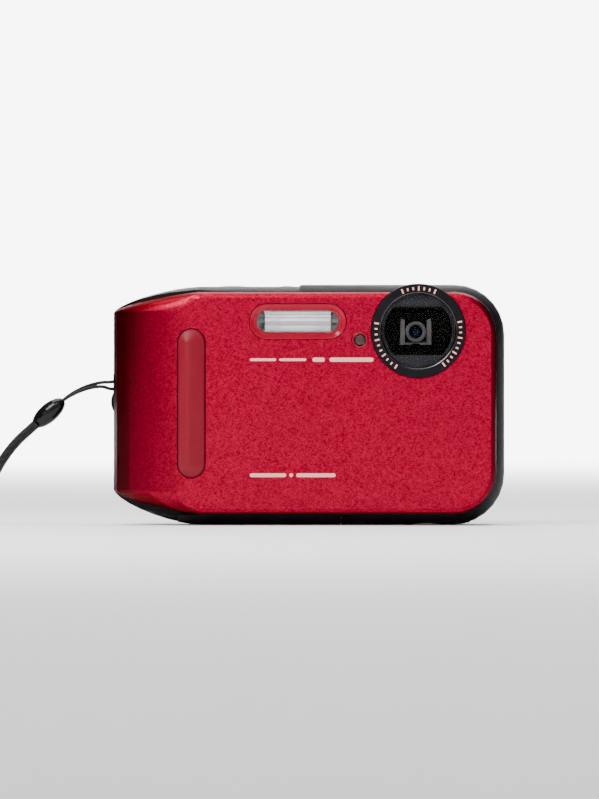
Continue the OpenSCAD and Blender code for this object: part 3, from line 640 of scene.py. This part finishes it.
# ------------------------------------------------------------------ pieces


class CAMERA_OT_strap(bpy.types.Operator):
    """Make the wrist strap: lead, joiner, wrist cord and its hank"""

    bl_idname = "camera.strap"
    bl_label = "Wrist strap"

    def execute(self, context):
        make_strap(context.scene.camera_strap)
        return {"FINISHED"}


def smooth_path(points, per):
    """Rounds a run of points with a Catmull-Rom curve."""
    points = [Vector(p) for p in points]
    ends = [2 * points[0] - points[1], *points, 2 * points[-1] - points[-2]]
    out = []
    for i in range(1, len(ends) - 2):
        a, b, c, d = ends[i - 1 : i + 3]
        for k in range(per):
            t = k / per
            out.append(
                0.5
                * (
                    2 * b
                    + (c - a) * t
                    + (2 * a - 5 * b + 4 * c - d) * t * t
                    + (3 * b - a - 3 * c + d) * t**3
                )
            )
    out.append(points[-1])
    return out


def cord_tube(name, path, thickness, sides, body, material, nodes):
    """A tube along a path, with its UV map along and round the cord."""
    bm = bmesh.new()
    layer = bm.loops.layers.uv.new("UVMap")
    side = Vector((0, 0, 1))
    rings = []
    for i, point in enumerate(path):
        run = (path[min(i + 1, len(path) - 1)] - path[max(i - 1, 0)]).normalized()
        side = (side - run * side.dot(run)).normalized()
        turn = run.cross(side)
        place = Matrix((side, turn, run)).transposed().to_4x4()
        place.translation = point
        ring = bmesh.ops.create_circle(
            bm, segments=sides, radius=thickness / 2, cap_ends=False, matrix=place
        )["verts"]
        rings.append(ring)
    along = 0.0
    for i in range(len(rings) - 1):
        step = (path[i + 1] - path[i]).length
        for k in range(sides):
            m = (k + 1) % sides
            face = bm.faces.new((rings[i][k], rings[i][m], rings[i + 1][m], rings[i + 1][k]))
            spots = ((k, along), (k + 1, along), (k + 1, along + step), (k, along + step))
            for corner, (u, v) in zip(face.loops, spots):
                corner[layer].uv = (u / sides, v)
        along += step
    for ring in (rings[0], rings[-1]):
        bm.faces.new(ring)
    return settle(name, bm, material, body, nodes, 60, weighted=False)


def make_strap(strap):
    thin = strap.lead
    lug_bar = Vector((-49.9 * MM, LUG.y, LUG.z))
    arc_over = [
        (-52.2, 36.3), (-53.6, 36.5), (-55.2, 36.4), (-57.4, 35.9),
        (-59.6, 35.1), (-61.8, 34.0), (-63.4, 32.95), (-64.5, 32.05),
    ]
    bar_r = 0.55 * MM
    turn_r = bar_r + thin / 2 + 0.06 * MM
    strand = thin / 2 + 0.03 * MM
    last = len(arc_over) - 1

    def beside(i, side):
        """A strand's point: above or below its twin at the lug, and beside it at the joiner."""
        a = math.radians(90 * (1 - i / last))
        spread = side * (strand + (turn_r - strand) * (0.6, 0.22, 0.06, 0)[min(i, 3)])
        x, z = arc_over[i]
        return (x * MM, LUG.y + spread * math.cos(a), z * MM + spread * math.sin(a))

    out = [beside(i, -1) for i in range(last + 1)]
    back = [beside(i, 1) for i in range(last + 1)]
    turn = [
        (
            lug_bar.x + turn_r * math.cos(math.radians(a)),
            lug_bar.y,
            lug_bar.z + turn_r * math.sin(math.radians(a)),
        )
        for a in range(-90, 91, 30)
    ]
    mouth = ((-51.4, 0.88), (-50.65, 0.98))
    below, above = (
        [(x * MM, lug_bar.y, lug_bar.z + side * turn_r * share) for x, share in mouth]
        for side in (-1, 1)
    )
    lead_path = smooth_path(out[::-1] + below + turn + above[::-1] + back, 4)
    lead = cord_tube(
        "strap_lead_cord", lead_path, thin, 14, "camera", "cord_black", ("strap_lead",)
    )

    joiner = softened("strap_joiner", 0.05)
    polish = joiner.modifiers.new("round", "SUBSURF")
    polish.levels = polish.render_levels = 1

    thick = strap.band
    mid = LUG.y / MM
    fall = [
        (-71.2, 26.2), (-76.2, 21.6), (-79.8, 17.0), (-82.6, 12.2),
        (-85.2, 8.2), (-88.2, 5.2), (-92.3, 3.95),
    ]
    low = 1.6      # height of the lays
    over = 3.95    # height where the strands cross the folds
    right, left = -98.4, -134.2
    inner, outer = 3.7, 6.2

    def bend(cx, cy, r, start, end, steps=10):
        return [
            (
                cx + r * math.cos(math.radians(start + (end - start) * k / steps)),
                cy + r * math.sin(math.radians(start + (end - start) * k / steps)),
                low,
            )
            for k in range(steps + 1)
        ]

    mean = (inner + outer) / 2
    route = [(x, mid + 1.3, z) for x, z in fall]
    route += [(-95.6, mid + 1.9, over), (-99.4, mid + 2.8, over - 0.3)]
    route += [(-104, mid + inner, low + 0.5), (-109, mid + inner, low)]
    route += bend(left, mid, inner, 90, 270)
    route += [(-124, mid - inner, low), (-112, mid - inner, low)]
    route += bend(right, mid + (outer - inner) / 2, mean, -90, 90)
    route += [(-112, mid + outer, low), (-124, mid + outer, low)]
    route += bend(left, mid, outer, 90, 270, 14)
    route += [(-124, mid - outer, low), (-112, mid - outer, low)]
    route += [(-106, mid - outer + 0.3, low + 0.5)]
    route += [(-101.4, mid - 4.2, over - 0.5), (-97.4, mid - 2.4, over)]
    route += [(x, mid - 1.3, z) for x, z in reversed(fall)]
    band_path = smooth_path([(x * MM, y * MM, z * MM) for x, y, z in route], 4)
    band = cord_tube(
        "strap_wrist_cord", band_path, thick, 14, "camera", "cord_black",
        ("strap_band", "strap_hank"),
    )

    bm = bmesh.new()
    half, x = 7.25, -118.0
    for z_low, z_high in ((0.02, 0.34), (2.86, 3.18)):
        bar(
            bm,
            ((x - 2) * MM, (mid - half) * MM, z_low * MM),
            ((x + 2) * MM, (mid + half) * MM, z_high * MM),
        )
    for side in (-1, 1):
        edge = mid + side * half
        bar(
            bm,
            ((x - 2) * MM, (edge - 0.16) * MM, 0.02 * MM),
            ((x + 2) * MM, (edge + 0.16) * MM, 3.18 * MM),
        )
    tie = settle("strap_tie", soften(bm, 0.05 * MM), "seal", "camera")


class CAMERA_OT_shell(bpy.types.Operator):
    """Make the wrapped front, the grip, the frame and the moulded case"""

    bl_idname = "camera.shell"
    bl_label = "Front, grip and case"

    def execute(self, context):
        shell = context.scene.camera_shell
        softened("front_panel", shell.edge_round / MM, 3, 20)
        softened("rear_case", 0.15, 2, 32)
        softened("front_frame", 0.08, 1, 40)
        softened("case_gasket", 0.06, 1, 40)
        make_grip()
        make_marks()
        return {"FINISHED"}


def make_grip():
    """The soft bar: two flanks that meet in a ridge nearer its outer side, with a thin near-black
    ring of painted shade round it where the gap is.
    """
    low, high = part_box("grip_bar")
    x, z = (low.x + high.x) / 2, (low.z + high.z) / 2
    w, h = high.x - low.x, high.z - low.z
    skin = FRONT_Y + 0.15 * MM
    outer, inner, ends = 2.35 * MM, 4.15 * MM, 3.4 * MM   # widths of the flanks and the ends
    shares = (0, 0.012, 0.035, 0.07, 0.2, 0.4, 0.6, 0.8, 0.93, 0.985, 1.0)
    heights = (0, 0.14, 0.2, 0.25, 0.37, 0.55, 0.73, 0.9, 0.98, 0.998, 1.0)
    outlines = [stadium(x, z, w, h, high.y)]
    for t, share in zip(shares, heights):
        outlines.append(
            stadium(
                x + (outer - inner) * t / 2,
                z,
                w - (outer + inner) * t,
                h - 2 * ends * t,
                skin + (low.y - skin) * share,
            )
        )
    bm = bmesh.new()
    stack(bm, outlines, True, True)
    settle("grip_pillow", bm, "red_silicone", "camera", ("grip_bar",), angle=70, weighted=False)

    # Painted shade: a thin near-black ring on the panel's face round the grip, standing for the
    # shadow in the gap.
    gap = 0.5 * MM
    bm = bmesh.new()
    front, back = FRONT_Y - 0.02 * MM, FRONT_Y + 0.1 * MM
    rings = stack(
        bm,
        [
            stadium(x, z, w, h, back),
            stadium(x, z, w, h, front),
            stadium(x, z, w + gap, h + gap, front),
            stadium(x, z, w + gap, h + gap, back),
        ],
    )
    bmesh.ops.bridge_loops(bm, edges=rings[0] + rings[-1])
    settle("grip_gap_painted_shade", bm, "well_black", "camera")


def make_marks():
    """Plain printed rules and a raised bar, where a maker would put words."""
    bm = bmesh.new()
    face = FRONT_Y
    rules = (
        (-15.2, 42.9, 6.8, 0.7), (-7.6, 42.9, 7.0, 0.7), (1.0, 42.9, 3.2, 1.1),
        (5.4, 42.9, 11.4, 1.1), (-15.2, 13.0, 9.4, 1.0), (-5.0, 13.0, 1.0, 1.0),
        (-3.2, 13.0, 10.2, 1.0),
    )
    for x, z, length, h in rules:
        verts = bar(
            bm,
            (x * MM, face - 0.02 * MM, (z - h / 2) * MM),
            ((x + length) * MM, face + 0.05 * MM, (z + h / 2) * MM),
        )
        ends = [e for e in {e for v in verts for e in v.link_edges}
                if abs(e.verts[0].co.y - e.verts[1].co.y) > 0.01 * MM]
        bmesh.ops.bevel(
            bm, geom=ends, offset=h * 0.48 * MM, offset_type="OFFSET", segments=4,
            profile=0.5, affect="EDGES", clamp_overlap=True, material=-1,
        )
    settle("front_print", bm, "ink", "camera")
    bm = bmesh.new()
    x, z, w, h = 28.3 * MM, 13.3 * MM, 19.2 * MM, 2.6 * MM
    stack(
        bm,
        [
            stadium(x, z, w, h, face + 0.2 * MM),
            stadium(x, z, w, h, face - 0.01 * MM),
            stadium(x, z, w - 0.3 * MM, h - 0.3 * MM, face - 0.12 * MM),
            stadium(x, z, w - 0.9 * MM, h - 0.9 * MM, face - 0.14 * MM),
        ],
        True,
        True,
    )
    settle("front_raised_bar", bm, "red_metal", "camera")


class CAMERA_OT_lens(bpy.types.Operator):
    """Make the lens ring with its ticks, the window, its mask and the front lens"""

    bl_idname = "camera.lens"
    bl_label = "Lens"

    def execute(self, context):
        lens = context.scene.camera_lens
        x, z = LENS.x, LENS.z
        front, back = RING_LOW.y, RING_HIGH.y
        bore = WINDOW_R + 0.03 * MM
        c = lens.chamfer
        profile = [
            (bore, back),
            (bore, front + 1.0 * MM),
            (bore + 0.06 * MM, front + 0.62 * MM),
            (bore + c * 0.8, front + 0.12 * MM),
            (bore + c, front + 0.03 * MM),
            (bore + c * 1.3, front),
            (RING_R - 0.42 * MM, front),
            (RING_R - 0.18 * MM, front + 0.05 * MM),
            (RING_R - 0.05 * MM, front + 0.18 * MM),
            (RING_R, front + 0.42 * MM),
            (RING_R, back),
        ]
        settle("lens_ring_band", lathe(profile, x, z), "shell_black", "camera", ("lens_ring",))
        rim = [
            (bore + 0.01 * MM, front + 0.70 * MM),
            (bore + 0.07 * MM, front + 0.56 * MM),
            (bore + c * 0.8, front + 0.06 * MM),
            (bore + c * 1.15, front - 0.005 * MM),
            (bore + c * 1.25, front + 0.02 * MM),
        ]
        settle("lens_ring_rim", lathe(rim, x, z), "dark_chrome", "camera")
        bm = bmesh.new()
        for start, end in ((112, 67), (170, 238), (12, -53)):
            steps = int(abs(end - start) / math.degrees(lens.tick_step))
            for i in range(steps + 1):
                a = math.radians(start + (end - start) * i / steps)
                tall = (1.2 if i % 3 == 0 else 0.75) * MM
                verts = bar(
                    bm,
                    (-tall / 2, front - 0.012 * MM, -0.2 * MM),
                    (tall / 2, front + 0.03 * MM, 0.2 * MM),
                )
                centre = (
                    x + lens.tick_radius * math.cos(a), 0, z + lens.tick_radius * math.sin(a)
                )
                place = Matrix.Translation(centre) @ Matrix.Rotation(-a, 4, "Y")
                bmesh.ops.transform(bm, matrix=place, verts=verts)
        settle("lens_ring_ticks", bm, "ink", "camera")
        softened("lens_window", 0.12, 3, material="window_glass")
        # The mask stands a hair behind the window, so that the two faces don't coincide
        bm = soften(cad_mesh("window_mask"), 0.05 * MM, 1)
        bmesh.ops.translate(bm, vec=(0, 0.04 * MM, 0), verts=bm.verts)
        settle("window_mask_plate", bm, "mask_paint", "camera", ("window_mask",))
        softened("lens_holder", 0.15, 2, material="well_black")
        softened("front_lens", 0.04, 1)
        make_lens_inside()
        return {"FINISHED"}


def make_lens_inside():
    """The grey barrel round the front lens, and the brackets and rail that carry it."""
    low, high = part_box("front_lens")
    holder_low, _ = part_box("lens_holder")
    x, z, r = (low.x + high.x) / 2, (low.z + high.z) / 2, (high.x - low.x) / 2
    seat, front = holder_low.y + 0.02 * MM, holder_low.y - 0.95 * MM
    profile = [
        (r + 0.06 * MM, seat), (r + 0.06 * MM, front + 0.45 * MM),
        (r + 0.3 * MM, front + 0.1 * MM), (r + 0.42 * MM, front),
        (r + 0.8 * MM, front + 0.05 * MM), (r + 0.92 * MM, front + 0.2 * MM),
        (r + 0.95 * MM, seat),
    ]
    barrel = lathe(profile, x, z, 64)
    settle("lens_barrel_ring", barrel, "barrel_grey", "camera")
    bm = bmesh.new()
    reach, tall, thick, cut = 4.0 * MM, 3.4 * MM, 1.15 * MM, 1.0 * MM
    for side in (-1, 1):
        inside, outside = x + side * (reach - thick), x + side * reach
        outline = [
            (inside, -tall), (inside, tall - 0.4 * MM), (outside - side * cut * 0.2, tall),
            (outside, tall - cut), (outside, -tall),
        ]
        face = bm.faces.new([bm.verts.new((px, seat, z + pz)) for px, pz in outline])
        up = bmesh.ops.extrude_face_region(bm, geom=[face])["geom"]
        bmesh.ops.translate(
            bm,
            vec=(0, front + 0.25 * MM - seat, 0),
            verts=[v for v in up if isinstance(v, bmesh.types.BMVert)],
        )
    rail = z - tall + 0.45 * MM
    bar(bm, (x - reach, seat - 0.3 * MM, rail - 0.12 * MM), (x + reach, seat, rail + 0.12 * MM))
    for side in (-1, 1):
        foot = x + side * 1.9 * MM
        bar(
            bm,
            (foot - 0.8 * MM, seat - 0.4 * MM, rail - 0.5 * MM),
            (foot + 0.8 * MM, seat, rail + 0.05 * MM),
        )
    settle("lens_brackets", soften(bm, 0.1 * MM), "barrel_grey", "camera")


class CAMERA_OT_flash(bpy.types.Operator):
    """Make the flash surround, its ribbed window, the bright dish and the lamp"""

    bl_idname = "camera.flash"
    bl_label = "Flash and lamp"

    def execute(self, context):
        make_flash(context.scene.camera_flash)
        make_lamp()
        return {"FINISHED"}


def make_flash(flash):
    low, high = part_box("flash_bezel")
    x, z = (low.x + high.x) / 2, (low.z + high.z) / 2
    w, h = high.x - low.x, high.z - low.z
    glass_low, glass_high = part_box("flash_window")
    gw, gh = glass_high.x - glass_low.x, glass_high.z - glass_low.z
    step = (w - gw) / 2
    back = high.y
    # Each row: share of the way from the outer edge to the glass, depth behind the panel in mm
    funnel = (
        (0.0, 0.25), (0.04, 0.06), (0.12, 0.02), (0.2, 0.10), (0.56, 0.62),
        (0.6, 0.66), (0.64, 0.56), (0.70, 0.52), (0.76, 0.56), (0.8, 0.78), (0.98, 0.86),
    )
    outlines = [stadium(x, z, w, h, back)]
    for share, depth in funnel:
        t = step * share
        outlines.append(stadium(x, z, w - 2 * t, h - 2 * t, FRONT_Y + depth * MM))
    t = step * 0.98
    outlines.append(stadium(x, z, w - 2 * t, h - 2 * t, back))
    bm = bmesh.new()
    rings = stack(bm, outlines)
    bmesh.ops.bridge_loops(bm, edges=rings[0] + rings[-1])
    settle("flash_surround", bm, "red_trim", "camera", ("flash_bezel",), angle=40)

    front = glass_low.y
    bm = bmesh.new()
    stack(
        bm,
        [
            stadium(x, z, gw, gh, glass_high.y),
            stadium(x, z, gw, gh, front + 0.12 * MM),
            stadium(x, z, gw - 0.1 * MM, gh - 0.1 * MM, front + 0.03 * MM),
            stadium(x, z, gw - 0.3 * MM, gh - 0.3 * MM, front),
        ],
        True,
        True,
    )
    settle("flash_pane", bm, "clear_glass", "camera", ("flash_window",))

    # Fine upright ribs cross the dish near its ends, and level lines run along it
    bright = 17.3 * MM
    tall = 4.8 * MM
    behind = glass_high.y + 0.02 * MM
    bm = cad_mesh("flash_reflector")
    settle("flash_dish", bm, "bright_dish", "camera", ("flash_reflector",))
    bm = bmesh.new()
    pitch = bright / flash.ribs
    for i in range(flash.ribs + 1):
        if flash.end_ribs < i < flash.ribs - flash.end_ribs:
            continue
        rx = x - bright / 2 + i * pitch
        bar(
            bm,
            (rx - 0.05 * MM, behind, z - tall / 2),
            (rx + 0.05 * MM, behind + 0.12 * MM, z + tall / 2),
        )
    for j in range(flash.rows):
        rz = z - tall / 2 + tall * (j + 0.5) / flash.rows
        bar(bm, (x - bright / 2, behind + 0.13 * MM, rz - 0.04 * MM),
            (x + bright / 2, behind + 0.2 * MM, rz + 0.05 * MM))
    settle("flash_ribs", bm, "plated", "camera")


def make_lamp():
    """A domed lamp window with a thin raised lip round it."""
    low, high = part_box("af_lamp")
    x, z, r = (low.x + high.x) / 2, (low.z + high.z) / 2, (high.x - low.x) / 2
    front = low.y
    profile = [
        (0.0, high.y), (r - 0.5 * MM, high.y), (r - 0.5 * MM, front + 0.8 * MM),
        (r, front + 0.8 * MM), (r, front + 0.22 * MM), (r * 0.92, front + 0.12 * MM),
        (r * 0.6, front + 0.04 * MM), (r * 0.3, front + 0.01 * MM), (0.0, front),
    ]
    settle("lamp_dome", lathe(profile, x, z, 48, False), "amber", "camera", ("af_lamp",))
    lip = [
        (r + 0.02 * MM, FRONT_Y + 0.1 * MM), (r + 0.04 * MM, FRONT_Y + 0.02 * MM),
        (r + 0.16 * MM, FRONT_Y - 0.06 * MM), (r + 0.3 * MM, FRONT_Y - 0.05 * MM),
        (r + 0.42 * MM, FRONT_Y + 0.02 * MM), (r + 0.42 * MM, FRONT_Y + 0.1 * MM),
    ]
    settle("lamp_lip", lathe(lip, x, z, 48), "red_trim", "camera")


class CAMERA_OT_keys(bpy.types.Operator):
    """Make the buttons, the rocker and the control ring"""

    bl_idname = "camera.keys"
    bl_label = "Buttons"

    def execute(self, context):
        for node in (
            "shutter_button", "power_button", "movie_button", "playback_button",
            "mode_button", "menu_button", "delete_button", "centre_button", "control_ring",
        ):
            softened(node, 0.18, 3)
        softened("zoom_rocker", 0.12, 2)
        return {"FINISHED"}


class CAMERA_OT_base(bpy.types.Operator):
    """Make the door, latch, tripod bush, screws, lug and the rear window"""

    bl_idname = "camera.base"
    bl_label = "Base, lug and rear window"

    def execute(self, context):
        softened("battery_door", 0.12, 2)
        softened("door_latch", 0.08, 2)
        softened("tripod_nut", 0.1, 2)
        softened("case_screws", 0.06, 2)
        softened("strap_lug", 0.15, 2)
        softened("screen_window", 0.15, 3)
        return {"FINISHED"}


class CAMERA_OT_inside(bpy.types.Operator):
    """Give every other CAD piece its finish"""

    bl_idname = "camera.inside"
    bl_label = "Inner pieces"

    def execute(self, context):
        for node, piece in frame["nodes"].items():
            if piece.hide_render:
                continue
            piece.data.materials.clear()
            piece.data.materials.append(Finishes.get(SLOT_OF[node]))
        return {"FINISHED"}


class CAMERA_OT_stage(bpy.types.Operator):
    """Set the paper floor, the soft lights and the view"""

    bl_idname = "camera.stage"
    bl_label = "Studio"

    def execute(self, context):
        make_stage(context.scene.camera_stage)
        return {"FINISHED"}


def soft_light(name, place, target, size, power, colour="#FFFFFF"):
    data = bpy.data.lights.new(name, "AREA")
    data.shape = "RECTANGLE"
    data.size, data.size_y = size
    data.energy = power
    data.color = tone(colour)[:3]
    light = bpy.data.objects.new(name, data)
    bpy.context.collection.objects.link(light)
    light.location = place
    light.rotation_euler = (Vector(target) - Vector(place)).to_track_quat("-Z", "Y").to_euler()
    return light


AMBIENT = 0.1                  # strength of the even light from all round
SWEEP = (3.2, 0.8, 3.0)        # reach, bend and height of the paper, metres
FLAG = (0.002, -0.4, 1.4, 0.03, 0.5)   # half thickness, ends along Y, bottom and top, metres
VIEW_X, VIEW_Z = -2.35 * MM, 32.6 * MM  # the lens axis of the view
VIEW_DEPTH = 7 * MM            # behind the panel: the depth at which the view is measured


def make_stage(stage):
    # A round sweep: flat floor that curves up to a wall on every side
    bm = bmesh.new()
    reach, bend, high = SWEEP
    profile = [(0.0, 0.0), (0.6, 0.0), (reach - bend, 0.0)]
    for k in range(1, 13):
        a = math.radians(90 * k / 12)
        profile.append((reach - bend + bend * math.sin(a), bend - bend * math.cos(a)))
    profile.append((reach, high))
    verts = [bm.verts.new((x, 0, z)) for x, z in profile]
    edges = [bm.edges.new(pair) for pair in zip(verts, verts[1:])]
    bmesh.ops.spin(
        bm, geom=verts + edges, cent=(0, 0, 0), axis=(0, 0, 1),
        angle=2 * math.pi, steps=96, use_merge=True,
    )
    bmesh.ops.remove_doubles(bm, verts=bm.verts[:], dist=0.0001)
    bmesh.ops.recalc_face_normals(bm, faces=bm.faces[:])
    mesh = bpy.data.meshes.new("studio_sweep")
    bm.to_mesh(mesh)
    bm.free()
    for face in mesh.polygons:
        face.use_smooth = True
    mesh.materials.append(studio_paper(stage.paper))
    sweep = bpy.data.objects.new("studio_sweep", mesh)
    bpy.context.collection.objects.link(sweep)

    world = bpy.data.worlds.new("studio")
    world.use_nodes = True
    world.node_tree.nodes["Background"].inputs["Color"].default_value = tone("#FFFFFF")
    world.node_tree.nodes["Background"].inputs["Strength"].default_value = AMBIENT
    bpy.context.scene.world = world

    aim = (0, 0, 0.03)
    soft_light("front_softbox", (-0.24, -0.3, 0.38), aim, (0.26, 0.22), 3.1)
    soft_light("overhead_softbox", (0.0, 0.1, 0.8), (0, -0.05, 0), (0.8, 0.5), 10.0)
    soft_light("backdrop_light", (0.0, 1.6, 1.6), (0, 3.2, 0.3), (1.5, 0.5), 260.0)
    soft_light("floor_light", (0.0, -1.0, 1.1), (0, -1.0, 0), (0.8, 0.5), 6.5)

    # Dark flags stand beside the set, out of sight, so that the metal's edges turn dark
    half, near, far, foot, top = FLAG
    for name, x in (("left_flag", -0.32), ("right_flag", 0.36)):
        bm = bmesh.new()
        bar(bm, (x - half, near, foot), (x + half, far, top))
        mesh = bpy.data.meshes.new(name)
        bm.to_mesh(mesh)
        bm.free()
        mesh.materials.append(Finishes.get("seal"))
        flag = bpy.data.objects.new(name, mesh)
        bpy.context.collection.objects.link(flag)
        flag.visible_camera = False

    data = bpy.data.cameras.new("view")
    data.sensor_width = 36.0
    data.sensor_fit = "AUTO"
    data.lens = stage.focal
    away = stage.field * stage.focal / data.sensor_width
    data.clip_start = 0.01
    camera = bpy.data.objects.new("view", data)
    bpy.context.collection.objects.link(camera)
    camera.location = (VIEW_X, FRONT_Y + VIEW_DEPTH - away, VIEW_Z)
    camera.rotation_euler = (math.radians(90), 0, 0)
    bpy.context.scene.camera = camera


OPERATORS = (
    CAMERA_OT_strap, CAMERA_OT_shell, CAMERA_OT_lens, CAMERA_OT_flash,
    CAMERA_OT_keys, CAMERA_OT_base, CAMERA_OT_inside, CAMERA_OT_stage,
)


class CAMERA_PT_panel(bpy.types.Panel):
    """Lists the steps that build the camera"""

    bl_idname = "CAMERA_PT_panel"
    bl_label = "Compact camera"
    bl_space_type = "VIEW_3D"
    bl_region_type = "UI"
    bl_category = "Camera"

    def draw(self, context):
        for name, group in SETTINGS.items():
            settings = getattr(context.scene, name)
            for key in group.__annotations__:
                self.layout.prop(settings, key)
        for operator in OPERATORS:
            self.layout.operator(operator.bl_idname)


def register():
    for name, group in SETTINGS.items():
        bpy.utils.register_class(group)
        setattr(bpy.types.Scene, name, bpy.props.PointerProperty(type=group))
    for item in (*OPERATORS, CAMERA_PT_panel):
        bpy.utils.register_class(item)


def unregister():
    for item in (CAMERA_PT_panel, *reversed(OPERATORS)):
        bpy.utils.unregister_class(item)
    for name, group in SETTINGS.items():
        delattr(bpy.types.Scene, name)
        bpy.utils.unregister_class(group)


def main():
    register()
    bpy.ops.camera.stage()
    bpy.ops.camera.strap()
    bpy.ops.camera.shell()
    bpy.ops.camera.lens()
    bpy.ops.camera.flash()
    bpy.ops.camera.keys()
    bpy.ops.camera.base()
    bpy.ops.camera.inside()


if __name__ == "__main__":
    main()
